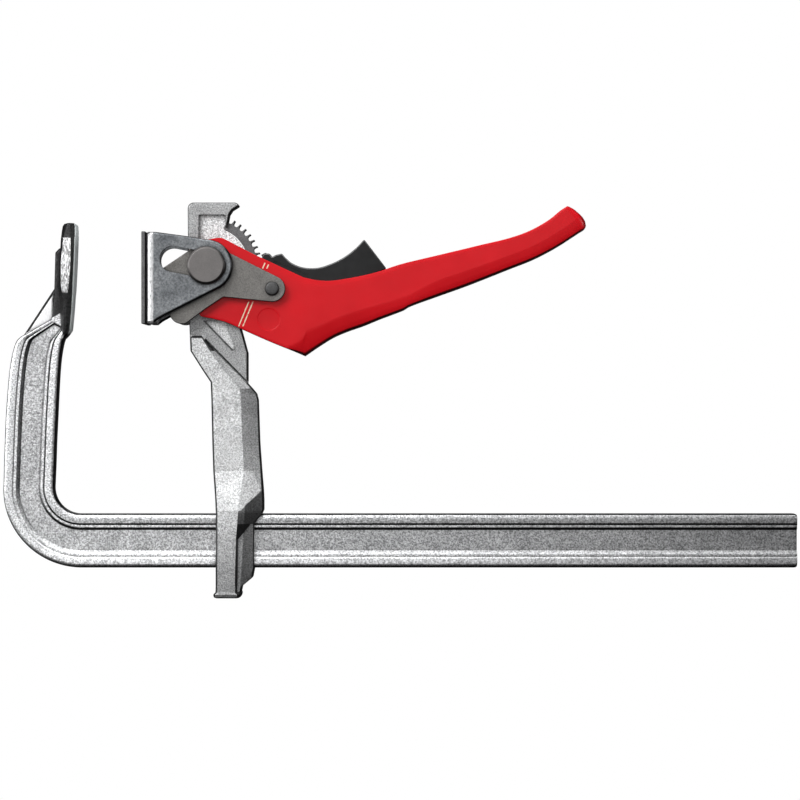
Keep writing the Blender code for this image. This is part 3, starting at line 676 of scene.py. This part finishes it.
def make_blade():
    sections = [
        (121.2, -0.6, -3.9, 6.4, 0.3), (120.9, 0.0, -4.7, 7.0, 0.4), (120.0, 0.3, -5.3, 7.3, 0.5),
        (117.6, 0.4, -5.7, 7.5, 0.7), (115.6, 0.4, -5.9, 7.55, 0.9), (114.6, 0.35, -6.0, 8.1, 1.0),
        (105.0, 0.0, -6.5, 8.3, 1.3), (96.0, -0.45, -6.9, 8.2, 1.1), (92.5, -0.65, -6.9, 8.0, 0.8),
        (91.3, -0.75, -6.8, 7.5, 0.6), (86.0, -1.1, -6.7, 7.3, 0.4), (80.0, -1.6, -6.5, 7.0, 0.3),
        (76.6, -1.9, -6.4, 6.6, 0.3), (74.6, -3.2, -6.2, 6.1, 0.25), (73.2, -4.4, -6.0, 5.7, 0.2),
    ]
    return skin("blade", [blade_ring(*section) for section in sections])


def make_rail():
    """Bar, fixed arm and jaw, forged as one."""
    rail = make_bar()
    spine = rounded([(-3.5, 111.0), (-6.7, 110.8, 1.3), (-8.4, 109.0, 1.2), (-8.8, 94.7), (-9.0, 87.0),
                     (-10.3, 80.0), (-3.5, 76.0)])
    rib = prism("rib", spine, -4.8, 4.8)
    soften(rib, 1.1, 4, 40, clamp=False)
    gusset = prism("gusset", [(-5.0, 100.2), (-22.6, 73.4), (-24.0, 70.0), (-5.0, 70.0)], -2.8, 2.8)
    soften(gusset, 1.5, 5, 40)
    for other in (make_blade(), rib, gusset):
        combine(rail, other, "UNION")
    rail.name = "rail_forging"
    return rail


# Sliding arm.

ARM_SECTIONS = [
    # height, left edge, ridge, kink, right edge, and half thickness at the front facet, kink and right edge
    (-34.9, 58.7, 67.2, 67.7, 68.2, 9.6, 9.3, 8.6), (-34.5, 58.0, 67.7, 68.2, 69.0, 10.2, 9.8, 9.0),
    (-33.4, 57.8, 67.7, 68.4, 69.3, 10.45, 9.9, 9.1), (-32.9, 58.2, 67.3, 68.1, 69.2, 10.35, 9.6, 8.9),
    (-32.4, 58.7, 66.9, 67.7, 69.1, 10.2, 8.4, 7.9), (-30.1, 58.8, 66.9, 67.7, 69.6, 10.2, 7.7, 7.4),
    (-26.5, 58.8, 66.9, 67.8, 73.9, 10.3, 7.6, 6.8), (-22.4, 58.8, 67.0, 67.9, 74.7, 10.3, 7.7, 6.9),
    (-10.5, 58.9, 67.3, 68.0, 74.7, 10.4, 7.9, 7.0), (-4.0, 58.9, 67.8, 73.3, 74.8, 10.4, 7.3, 7.0),
    (0.2, 58.9, 68.1, 76.9, 77.9, 10.4, 7.0, 6.7), (1.6, 58.8, 68.2, 69.2, 78.5, 10.4, 10.2, 6.8),
    (5.5, 58.6, 68.7, 73.2, 78.5, 9.7, 8.9, 7.0), (9.6, 58.3, 69.3, 77.3, 78.3, 8.9, 7.4, 7.2),
    (17.9, 57.6, 70.4, 74.2, 77.7, 7.3, 6.4, 5.4), (29.8, 57.2, 69.8, 73.3, 76.9, 7.1, 5.7, 4.3),
    (47.5, 56.8, 69.2, 72.7, 76.3, 6.9, 5.4, 4.0), (50.2, 56.7, 69.0, 72.3, 75.6, 6.9, 5.4, 4.1),
    (52.3, 56.6, 68.5, 71.1, 73.8, 6.9, 6.0, 5.2), (54.9, 56.5, 66.4, 68.7, 71.4, 6.8, 6.1, 5.6),
    (60.0, 53.1, 61.9, 64.1, 66.5, 6.8, 6.1, 5.7), (67.9, 48.1, 56.2, 57.4, 58.8, 6.8, 6.2, 5.7),
    (73.3, 47.9, 52.9, 53.2, 53.6, 6.8, 6.4, 5.7), (74.7, 48.3, 52.5, 52.8, 53.1, 4.9, 4.8, 4.7),
]


def arm_section(height, left, ridge, kink, right, front, mid, back):
    """A horizontal section of the arm's leg: a front facet, and one or two facets back to its right edge."""
    side = [(left, 0.0), (left, front - 1.4), (left + 0.35, front - 0.75), (left + 0.75, front),
            (ridge, front), (kink, mid), (right - 0.5, back), (right - 0.1, back - 0.6),
            (right, back - 1.3), (right, 0.0)]
    return mirrored_ring(side, height)


def groove_along(first, last, half_wide, y_low, y_high):
    """A thin cutter that leaves a groove between two points."""
    first, last = Vector(first), Vector(last)
    along = (last - first).normalized()
    beside = Vector((-along.y, along.x)) * half_wide
    return prism("groove", [first - beside, last - beside, last + beside, first + beside], y_low, y_high)


def make_arm():
    leg = skin("sliding_arm_forging", [arm_section(*section) for section in ARM_SECTIONS])
    soften(leg, 0.35, 2, 9)
    behind = arc(PIN, TOOTH_INNER_R - 0.35, 66, -26, 30)
    outline = rounded([(46.9, 129.8, 2.4), (67.2, 129.8), (68.5, 128.6), (65.5, 126.7), (64.3, 124.9),
                       (63.8, 122.3), (63.1, 118.8)] + behind
                      + [(69.2, 77.0), (71.9, 67.1, 1.5), (71.9, 52.0), (57.5, 50.0), (57.3, 55.6),
                         (48.0, 68.5), (47.2, 90.0)])
    head = soften(prism("head", outline, -ARM_HEAD_HALF, ARM_HEAD_HALF), 0.75, 4, 40, clamp=False)
    for side in (-1, 1):
        beside = arc(PIN, TOOTH_INNER_R + 1.0, 62, -20, 20)
        panel = rounded([(51.4, 84.0, 1.0), (51.4, 124.8, 0.8), (62.8, 124.8, 0.8), (63.0, 119.2)] + beside)
        cut(head, prism("panel", panel, *on_side(side, ARM_WEB_HALF, RECESS_REACH)))
    hub_r, rim = BUSH_R + 2.4, 0.4
    half = [(0, ARM_HEAD_HALF), (hub_r - rim, ARM_HEAD_HALF), (hub_r, ARM_HEAD_HALF - rim)]
    hub = turned("hub", [(radius, -y) for radius, y in half] + half[::-1], PIN)
    combine(head, hub, "UNION")
    for side in (-1, 1):
        sunk = rounded([(53.6, 80.8, 0.5), (63.3, 80.8, 0.5), (63.6, 78.0, 1.0), (67.1, 68.9, 0.6),
                        (65.7, 67.9, 0.4)])
        cut(head, prism("sunk", sunk, *on_side(side, ARM_HEAD_HALF - 1.8, RECESS_REACH)))
        deep = on_side(side, ARM_HEAD_HALF - 2.6, RECESS_REACH)
        cut(head, groove_along((53.6, 80.6), (65.6, 68.2), 0.32, *deep),
            groove_along((54.2, 72.9), (72.2, 54.6), 0.4, *deep))
    arm = combine(leg, head, "UNION")
    half = RAIL_HALF + SLOT_GAP
    slot = box_between("slot", (30, -half, -RAIL_DEEP - SLOT_GAP), (90, half, SLOT_GAP))
    return cut(arm, slot, pin_hole(PIN, BUSH_R + HOLE_GAP))


# Ratchet segment.


def tooth_outline():
    """Thin hooked teeth with scooped roots, from the top down."""
    tooth = [(-2.0, 2.5), (-1.85, 1.9), (-1.45, 1.35), (-0.9, 1.0), (-0.3, 0.85), (0.0, 0.6), (0.0, -0.45),
             (-0.3, -0.7), (-0.75, -0.55), (-1.2, -0.6), (-1.7, -1.05), (-1.97, -1.8), (-2.05, -2.8),
             (-2.05, -4.0)]
    points = arc(PIN, TOOTH_ROOT_R, TOOTH_TOP + SEGMENT_TAIL, TOOTH_TOP + 3, 3)
    for i in range(TOOTH_COUNT):
        tip = TOOTH_TOP - TOOTH_STEP * i
        points += [polar(PIN, TOOTH_TIP_R + rise, tip + turn) for rise, turn in tooth]
    return points + arc(PIN, TOOTH_ROOT_R, TOOTH_BOTTOM + 2.5, TOOTH_BOTTOM, 1)


def make_segment():
    inside = arc(PIN, TOOTH_INNER_R, TOOTH_BOTTOM, TOOTH_TOP + SEGMENT_TAIL, 40)
    outline = tooth_outline() + inside
    return soften(prism("toothed_arc", outline, -SEGMENT_HALF, SEGMENT_HALF), 0.18, 2, 40)


# Pin, rivet, pad and cams.


def make_pin():
    out, under, end = -PIN_HEAD_OUT, -CHEEK_OUT - 0.3, PIN_HEAD_OUT - 0.3
    profile = rounded([(0, out), (PIN_HEAD_R - 0.9, out, 0.5), (PIN_HEAD_R, out + 0.9, 0.6),
                       (PIN_HEAD_R, under, 0.25), (PIN_R, under), (PIN_R, -under), (PIN_END_R, -under),
                       (PIN_END_R, end, 0.4), (0, end)], 4)
    return turned("pin_with_head", profile, PIN, 96)


def make_collar():
    """The ring on the pin's thinner rear end."""
    inside, low, high = PIN_END_R + 0.05, CHEEK_OUT + 0.35, PIN_HEAD_OUT
    corners = [(inside, low), (PIN_HEAD_R, low, 0.3), (PIN_HEAD_R, high, 0.8), (inside, high, 0.3)]
    return turned("pin_rear_collar", rounded(corners, 4), PIN, 96)


def make_lever_rivet():
    out = CAM_OUT + 0.15
    head = [(0, out + 1.1), (2.1, out + 1.05), (2.5, out + 0.95), (2.8, out + 0.65),
            (RIVET_HEAD_R, out + 0.35), (RIVET_HEAD_R, out), (RIVET_R, out)]
    return turned("lever_rivet_domed", head + [(radius, -y) for radius, y in reversed(head)], RIVET, 48)


def pad_outline():
    nose = arc(PIN, 10.8, 86, -60, 36)
    return [(PAD_INNER_X - 1, 79.1), (PAD_INNER_X - 1, 117.2), (34.6, 117.0), (47.2, 115.3)] + nose + [
        (38.75, 82.6), (35.25, 80.7), (33.2, 79.1)]


def slot_outline(reach):
    """The slot that the pin slides in, as far as reach from the pin at rest."""
    turn = 180 + SLOT_TILT
    far = arc(polar(PIN, reach, turn), SLOT_R, turn + 90, turn - 90, 24)
    return far + arc(polar(PIN, 2.8, SLOT_TILT), SLOT_R, SLOT_TILT + 90, SLOT_TILT - 90, 24)


def make_bracket():
    """The pad's bent strip, trimmed to its side outline and slotted."""
    open_x, low_z, high_z = 90.0, 60.0, 140.0
    outer = rounded([(open_x, -CHEEK_OUT), (PAD_INNER_X, -CHEEK_OUT, PAD_BEND_R),
                     (PAD_INNER_X, CHEEK_OUT, PAD_BEND_R), (open_x, CHEEK_OUT)], 8)
    inner_x = PAD_INNER_X + CHEEK_OUT - CHEEK_IN - 0.5
    inner = rounded([(open_x, CHEEK_IN), (inner_x, CHEEK_IN, 0.5), (inner_x, -CHEEK_IN, 0.5),
                     (open_x, -CHEEK_IN)], 4)
    strip = skin("pad_bent_bracket", [[(x, y, z) for x, y in outer + inner] for z in (low_z, high_z)])
    combine(strip, prism("trim", pad_outline(), -CHEEK_OUT - 1, CHEEK_OUT + 1), "INTERSECT")
    soften(strip, 1.2, 5, 40, clamp=False)
    cut(strip, prism("slot", slot_outline(SLOT_REACH), -TRIM_REACH, 0),
        prism("rear_slot", slot_outline(SLOT_REACH_REAR), 0, TRIM_REACH))
    return soften(strip, 0.25, 2, 40)


def make_face_plate():
    front, back = PAD_FACE_X + 0.5, PAD_INNER_X - 0.15
    outline = [(front, 79.0), (front, 117.3), (back, 117.3), (back, 79.0)]
    return soften(prism("pad_pressing_plate", outline, -CHEEK_OUT + 0.6, CHEEK_OUT - 0.6), 0.4, 3)


def cam_outline():
    return rounded(arc(PIN, 9.6, 135, 58, 20) + [(64.0, 108.8)] + arc(RIVET, 5.4, 66, -96, 30)
                   + [(72.0, 89.2), (62.2, 90.2, 1.5), (55.0, 85.4)] + arc((45.0, 84.2), 5.2, -70, -160, 14)
                   + [(38.0, 88.0), (36.2, 95.0), (37.3, 102.3, 0.4)])


def make_cam(side):
    cam = prism("cam", cam_outline(), *on_side(side, CAM_IN, CAM_OUT))
    cam.name = "cam_front" if side < 0 else "cam_rear"
    cut(cam, pin_hole(PIN, PIN_R + HOLE_GAP), rivet_hole())
    return soften(cam, 0.35, 3, 40)


# Handle.

HANDLE_LEFT = [
    # (top x, z), (bottom x, z) along the cheeks that are open at the bottom
    ((49.5, 112.2), (53.2, 82.1)), ((52.5, 113.6), (55.0, 81.7)), ((56.3, 114.3), (58.0, 81.1)),
    ((60.0, 114.9), (62.9, 79.8)), ((62.4, 114.4), (66.0, 78.5)), ((68.6, 111.2), (72.0, 75.8)),
    ((75.0, 107.9), (79.0, 72.7)), ((81.9, 104.7), (85.0, 70.2)), ((86.5, 102.5), (88.3, 68.9)),
    ((90.4, 100.7), (92.0, 67.4)), ((95.4, 98.4), (95.7, 65.8)),
]
HANDLE_RIGHT = [
    # (top x, z), (fold x, z), (bottom x, z) along the closed channel
    ((95.4, 98.4), (96.4, 75.6), (95.7, 65.8)), ((101.5, 97.2), (102.5, 78.1), (101.2, 69.6)),
    ((107.5, 97.1), (108.5, 80.9), (107.5, 73.5)), ((113.5, 98.0), (114.5, 83.1), (113.5, 76.1)),
    ((120.0, 99.2), (121.0, 85.2), (120.3, 78.5)), ((127.0, 101.0), (127.0, 86.9), (127.1, 81.3)),
    ((131.8, 102.7), (132.2, 88.4), (133.0, 83.5)), ((135.6, 103.9), (136.4, 89.9), (137.0, 85.1)),
    ((139.4, 104.9), (139.6, 91.0), (140.2, 86.9)), ((150.0, 107.4), (150.7, 96.7), (151.0, 90.8)),
    ((160.5, 109.9), (161.8, 100.5), (162.2, 94.8)), ((170.0, 112.2), (171.4, 103.9), (172.0, 98.6)),
    ((178.6, 114.2), (180.2, 107.1), (181.0, 102.2)), ((186.0, 116.5), (188.6, 110.4), (190.2, 105.8)),
    ((192.0, 119.2), (195.2, 113.6), (197.3, 109.3)), ((197.6, 122.6), (200.8, 117.0), (203.0, 112.6)),
    ((201.6, 125.9), (205.4, 120.0), (207.6, 115.6)), ((204.6, 127.9), (208.4, 122.2), (210.8, 117.7)),
]
# (share of the way down the tip, how far the tip rounds out past the last section)
TIP_REACH = [(0.0, 0.6), (0.05, 1.2), (0.21, 2.4), (0.43, 3.2), (0.69, 3.8), (0.88, 3.5), (0.97, 2.5),
             (1.0, 1.7)]
# (share of the tip's reach, share of the half width), from the last section to the tip's end
TIP_STEPS = [(0.45, 0.965), (0.72, 0.88), (0.9, 0.72), (0.98, 0.45), (1.0, 0.15)]
TIP_OUTWARD = (0.86, 0.51)
CHEEK_ROWS = 6
FOLD_SLOPE = 0.22
FOLD_STARTS = (88.3, 95.7)
HEM_SHARE = 0.97
DIMPLE = (80.8, 81.0)
DIMPLE_R = 5.1


def between(pairs, at):
    """The value at this place along pairs of (place, value), joined by straight lines."""
    for (a, low), (b, high) in zip(pairs, pairs[1:]):
        if at <= b:
            return low + (high - low) * (at - a) / (b - a)
    return pairs[-1][1]


def channel_rows(top, fold, bottom, half):
    """One cross-section of the front cheek, from its top edge down to the channel's floor."""
    top, fold, bottom = Vector(top), Vector(fold), Vector(bottom)
    drop = (fold - bottom).length
    turned_under = min(1.0, drop / 3)
    narrow = half - FOLD_SLOPE * drop
    rows = [(*top, half - 0.45), (*top.lerp(fold, 0.09), half - 0.05)]
    rows += [(*top.lerp(fold, i / CHEEK_ROWS * 0.94), half) for i in range(1, CHEEK_ROWS + 1)]
    rows.append((*top.lerp(fold, 0.985), half - 0.03))
    rows.append((*fold.lerp(bottom, 0.1), half - 0.03 * drop))
    rows.append((*fold.lerp(bottom, 0.45), half + (narrow - half) * 0.43))
    rows.append((*fold.lerp(bottom, 0.8), half + (narrow - half) * 0.82))
    rows.append((*fold.lerp(bottom, 0.9), narrow - 0.3 * turned_under))
    rows.append((*fold.lerp(bottom, 0.97), narrow - 1.2 * turned_under))
    rows.append((*bottom, narrow - 2.3 * turned_under))
    return rows


def handle_columns():
    """All cross-sections from the pin end to the tip, and the index where the floor starts."""
    columns = []
    left = [Vector((*top, *bottom)) for top, bottom in HANDLE_LEFT]
    for i, joined in enumerate(spline_through(left, 3)[:-1]):
        top, bottom = Vector(joined[:2]), Vector(joined[2:])
        part = min(1.0, max(0.0, (bottom.x - FOLD_STARTS[0]) / (FOLD_STARTS[1] - FOLD_STARTS[0])))
        fold = top.lerp(bottom, HEM_SHARE).lerp(Vector(HANDLE_RIGHT[0][1]), part)
        bulge = 4.5 * max(0.0, 1 - i / 5.0) ** 1.5
        column = []
        for x, z, half in channel_rows(top, fold, bottom, HANDLE_OUT):
            share = (top.y - z) / (top.y - bottom.y)
            column.append((x - bulge * max(0.0, math.sin(math.pi * share)) ** 0.7, z, half))
        columns.append(column)
    floor_from = len(columns)
    right = [Vector((*top, *fold, *bottom)) for top, fold, bottom in HANDLE_RIGHT]
    for joined in spline_through(right, 4):
        columns.append(channel_rows(joined[0:2], joined[2:4], joined[4:6], HANDLE_OUT))
    last = columns[-1]
    drop = last[0][1] - last[-1][1]
    for part, share in TIP_STEPS:
        column = []
        for x, z, half in last:
            reach = part * between(TIP_REACH, (last[0][1] - z) / drop)
            column.append((x + TIP_OUTWARD[0] * reach, z + TIP_OUTWARD[1] * reach, half * share))
        columns.append(column)
    return columns, floor_from


def make_handle():
    """The folded channel: one sheet, thickened inwards, with its rims rounded."""
    columns, floor_from = handle_columns()
    bm = bmesh.new()
    front = [[bm.verts.new((x, -half, z)) for x, z, half in column] for column in columns]
    rear = [[bm.verts.new((x, half, z)) for x, z, half in column] for column in columns]
    for cheek in (front, rear):
        for a, b in zip(cheek, cheek[1:]):
            for i in range(len(a) - 1):
                bm.faces.new((a[i], a[i + 1], b[i + 1], b[i]))
    for i in range(floor_from, len(columns) - 1):
        bm.faces.new((front[i][-1], front[i + 1][-1], rear[i + 1][-1], rear[i][-1]))
    for i in range(len(front[-1]) - 1):
        bm.faces.new((front[-1][i], front[-1][i + 1], rear[-1][i + 1], rear[-1][i]))
    handle = object_from("lever_handle", bm)
    outward = sum(face.normal.y * face.center.y for face in handle.data.polygons)
    sheet = handle.modifiers.new("sheet", "SOLIDIFY")
    sheet.thickness = (HANDLE_OUT - HANDLE_IN) * MM
    sheet.offset = -1.0 if outward > 0 else 1.0
    sheet.use_even_offset = False
    bake(handle)
    trim = [(45.0, 70.0), (45.0, 84.5), (53.2, 82.0), (58.0, 81.0), (62.9, 79.7), (62.0, 70.0)]
    cut(handle, prism("trim", trim, -TRIM_REACH, TRIM_REACH))
    soften(handle, 0.5, 3, 50)
    cut(handle, pin_hole(PIN, PIN_R + HOLE_GAP), rivet_hole())
    return cut(handle, make_dimple(-1), make_dimple(1))


def make_dimple(side):
    """A cutter for the shallow round mark in a cheek."""
    floor, lip, edge, far = (side * (HANDLE_OUT + out) for out in (-0.22, -0.05, 0.2, 1.0))
    profile = [(0, floor), (DIMPLE_R - 0.9, floor), (DIMPLE_R - 0.35, lip), (DIMPLE_R, edge), (DIMPLE_R, far),
               (0, far)]
    return turned("dimple", profile, DIMPLE, 64)


# Trigger and pawl.

TRIGGER_HALF = 6.6
PAWL_HALF = 2.9
PAWL_DROP = 7.0
PAWL_PIN = (86.6, 101.0)
PAWL_PIN_HOLE_R = 1.3
FORK_HALF = 3.6


def trigger_outline():
    crest = [(120.5, 114.4), (117.3, 111.0), (113.5, 107.9), (109.7, 105.6), (105.8, 103.9), (102.0, 102.7),
             (98.1, 102.4), (94.3, 102.9), (90.4, 104.5), (87.7, 106.8)]
    smooth = [tuple(p) for p in spline_through(crest, 4)]
    under = [(94.0, 91.4), (108.0, 94.4), (122.0, 98.8), (130.0, 102.0, 0.8)]
    stops = [(86.2, 108.5, 0.7), (83.6, 107.9, 1.0), (82.0, 107.0, 0.5), (81.2, 108.5, 0.9),
             (78.6, 108.5, 1.0), (76.6, 104.0), (78.9, 99.0)]
    return rounded(arc(RIVET, 5.4, 200, 330, 24) + under + smooth + stops)


def make_trigger():
    trigger = prism("release_trigger", trigger_outline(), -TRIGGER_HALF, TRIGGER_HALF)
    soften(trigger, 0.65, 4, 35, clamp=False)
    slot = box_between("pawl_slot", (70, -PAWL_HALF - 0.1, 80), (91, PAWL_HALF + 0.1, 120))
    fork = box_between("segment_gap", (70, -FORK_HALF, 96), (81.5, FORK_HALF, 120))
    room = box_between("spring_room", (70, FORK_HALF, 80), (93.5, RECESS_REACH, 98))
    for side in (-1, 1):
        layer = on_side(side, TRIGGER_HALF - 0.5, RECESS_REACH)
        cut(trigger, groove_along((83.0, 105.2), (97.0, 99.6), 0.35, *layer))
    cut(trigger, slot, fork, room)
    return cut(trigger, rivet_hole(), pin_hole(PAWL_PIN, PAWL_PIN_HOLE_R, 24))


def make_pawl():
    """Its nose is drawn seated between two teeth, then turned clear of them, as it rests."""
    seated = [polar(PIN, radius, turn)
              for radius, turn in ((22.75, 13.8), (20.8, 12.1), (20.8, 10.7), (22.6, 9.0), (23.8, 4.5))]
    nose = [turn_about(point, RIVET, -PAWL_DROP) for point in seated]
    back = [(90.4, 92.0, 1.5), (90.4, 104.2, 1.5), (84.0, 105.4, 1.0)]
    outline = rounded(arc(RIVET, 4.9, 170, 300, 24) + back + nose)
    pawl = prism("steel_pawl", outline, -PAWL_HALF, PAWL_HALF)
    cut(pawl, rivet_hole(), pin_hole(PAWL_PIN, PAWL_PIN_HOLE_R, 24))
    return soften(pawl, 0.2, 2, 40)


# Stage.

CAMERA_AWAY = 1.3
# The view's width at the bar's front side (mm), taken back to the mid-plane.
VIEW_WIDE = 1000 / 3 * (1 + RAIL_HALF * MM / CAMERA_AWAY)
VIEW_CENTRE = (135.4, 47.5)


def add_camera():
    data = bpy.data.cameras.new("camera")
    camera = new_object("camera", data)
    camera.location = ORIGIN + Vector((VIEW_CENTRE[0] * MM, -CAMERA_AWAY, VIEW_CENTRE[1] * MM))
    camera.rotation_euler = (math.radians(90), 0, 0)
    data.sensor_width = 36
    data.lens = data.sensor_width * CAMERA_AWAY / (VIEW_WIDE * MM)
    bpy.context.scene.camera = camera
    return camera


def add_light(rig, name, from_object, size, power):
    """A soft light on the camera's rig. from_object is right, up and towards the camera, in metres."""
    data = bpy.data.lights.new(name, "AREA")
    data.shape = "RECTANGLE"
    data.size, data.size_y = size
    data.energy = power
    light = new_object(name, data)
    light.parent = rig
    light.location = Vector(from_object) - Vector((0, 0, CAMERA_AWAY))
    light.rotation_euler = Vector(from_object).to_track_quat("Z", "Y").to_euler()


def stage_material():
    """Plain white to the camera, and a dark grey in reflections, so that metal keeps its dark side."""
    mat = bpy.data.materials.new("pale_stage")
    mat.use_nodes = True
    tree = mat.node_tree
    tree.nodes.clear()
    seen = new_node(tree, "ShaderNodeLightPath").outputs["Is Camera Ray"]
    grey = new_node(tree, "ShaderNodeBsdfDiffuse", {"Color": (0.08, 0.08, 0.08, 1)})
    white = new_node(tree, "ShaderNodeEmission", {"Color": (1, 1, 1, 1)})
    mix = new_node(tree, "ShaderNodeMixShader", {"Fac": seen, 1: grey.outputs[0], 2: white.outputs[0]})
    new_node(tree, "ShaderNodeOutputMaterial", {"Surface": mix.outputs[0]})
    return mat


def add_stage():
    """A floor that curves up into a backdrop."""
    floor, half_wide, bend_y, bend_r = -230.0, 3000.0, 700, 400
    bend = arc((bend_y, floor + bend_r), bend_r, -90, 0, 12)
    line = [(-2500, floor), (bend_y, floor)] + bend + [(bend_y + bend_r, 2500)]
    rings = [[(x, y, z) for y, z in line] for x in (-half_wide, half_wide)]
    backdrop = skin("stage_floor", rings, closed=False, caps=False)
    set_material(backdrop, stage_material())
    backdrop.data.polygons.foreach_set("use_smooth", [True] * len(backdrop.data.polygons))


def add_lights(rig):
    """The lights ride on the camera, so that every side of the object is lit alike."""
    add_light(rig, "key", (-0.66, 0.72, 0.95), (0.6, 0.6), 11)
    add_light(rig, "front", (0.1, 0.1, 1.25), (0.9, 0.9), 4.5)
    add_light(rig, "top", (0.1, 0.95, 0.3), (1.3, 0.25), 6)
    add_light(rig, "left", (-0.95, 0.1, 0.3), (0.25, 1.0), 4)
    add_light(rig, "right", (1.0, 0.2, 0.25), (0.2, 0.7), 4)


def add_world():
    """Near white to the camera, and almost dark to everything that it lights."""
    world = bpy.data.worlds.new("studio")
    bpy.context.scene.world = world
    world.use_nodes = True
    tree = world.node_tree
    background = tree.nodes["Background"]
    seen = new_node(tree, "ShaderNodeLightPath").outputs["Is Camera Ray"]
    strength = new_node(tree, "ShaderNodeMath", {0: seen, 1: 1.0, 2: 0.04}, operation="MULTIPLY_ADD")
    feed(background.inputs["Color"], (0.97, 0.98, 1.0, 1))
    feed(background.inputs["Strength"], strength.outputs[0])


# Building the object.

MATERIALS = {
    "galvanised": metal("galvanised_bar", (0.72, 0.725, 0.735), (0.54, 0.545, 0.555), 0.4, grain=0.2,
                        grain_size=0.7, speckle=0.5, tint=bar_tint, outline=(0.58, 0.78),
                        shine=jaw_face_not_metal),
    "zinc_cast": metal("forged_zinc", (0.64, 0.645, 0.65), (0.48, 0.485, 0.49), 0.42, grain=0.25,
                       speckle=0.42, tint=darker_rims, outline=(0.7, 0.97), shaded=(0.72, 1.0)),
    "plated_sheet": metal("zinc_sheet", (0.21, 0.22, 0.23), (0.1, 0.107, 0.115), 0.36, grain=0.08,
                          grain_size=0.9, speckle=0.3, shine=0.8, tint=bend_tint, shaded=(0.8, 0.99)),
    "cam_steel": metal("cam_steel", (0.18, 0.173, 0.163), (0.13, 0.125, 0.118), 0.45, grain=0.05,
                       speckle=0.2),
    "pin_steel": metal("pin_steel", (0.15, 0.141, 0.138), (0.13, 0.123, 0.12), 0.42, grain=0.02,
                       speckle=0.05),
    "phosphated": metal("phosphated_steel", (0.15, 0.15, 0.153), (0.09, 0.09, 0.093), 0.5, grain=0.05,
                        speckle=0.25),
    "spring_steel": metal("spring_steel", (0.3, 0.3, 0.31), (0.16, 0.16, 0.17), 0.35, speckle=0.1),
    "bronze": metal("bronze", (0.55, 0.36, 0.17), (0.34, 0.22, 0.11), 0.4, grain=0.03, speckle=0.1),
    "red_paint": red_enamel(),
    "black_plastic": black_plastic(),
}
RIVET_STEEL = metal("rivet_steel", (0.075, 0.075, 0.076), (0.05, 0.05, 0.051), 0.45, grain=0.04,
                    speckle=0.15)


def add(obj, body, slot, node, smooth=35, mat=None):
    """Shades the piece, gives it its material, and hangs it on its body in place of the frame's node."""
    set_material(obj, mat or MATERIALS[slot])
    obj.data.polygons.foreach_set("use_smooth", [True] * len(obj.data.polygons))
    obj.data.set_sharp_from_angle(angle=math.radians(smooth))
    level = obj.modifiers.new("flat_faces", "WEIGHTED_NORMAL")
    level.keep_sharp = True
    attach(obj, body)
    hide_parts(node)


add(make_rail(), "rail_body", "galvanised", "rail", smooth=32)
add(make_arm(), "arm_body", "zinc_cast", "sliding_arm", smooth=24)
add(make_segment(), "arm_body", "phosphated", "ratchet_segment")
add(make_pin(), "pin_body", "pin_steel", "main_pin")
add(make_collar(), "pin_body", "pin_steel", "main_pin_collar")
add(make_bracket(), "pad_body", "plated_sheet", "pad_bracket")
add(make_face_plate(), "pad_body", "phosphated", "pad_face_plate")
add(make_cam(-1), "lever_body", "cam_steel", "cam_plate_front")
add(make_cam(1), "lever_body", "cam_steel", "cam_plate_rear")
add(make_lever_rivet(), "lever_body", "phosphated", "lever_rivet", mat=RIVET_STEEL)
add(make_handle(), "lever_body", "red_paint", "handle", smooth=40)
add(make_trigger(), "trigger_body", "black_plastic", "trigger")
add(make_pawl(), "trigger_body", "phosphated", "pawl")

for row in frame["record"]["subparts"]:
    set_material(frame["nodes"][row["node"]], MATERIALS[row["material_slot"]])

add_stage()
add_lights(add_camera())
add_world()
bpy.context.scene.view_settings.view_transform = "Standard"
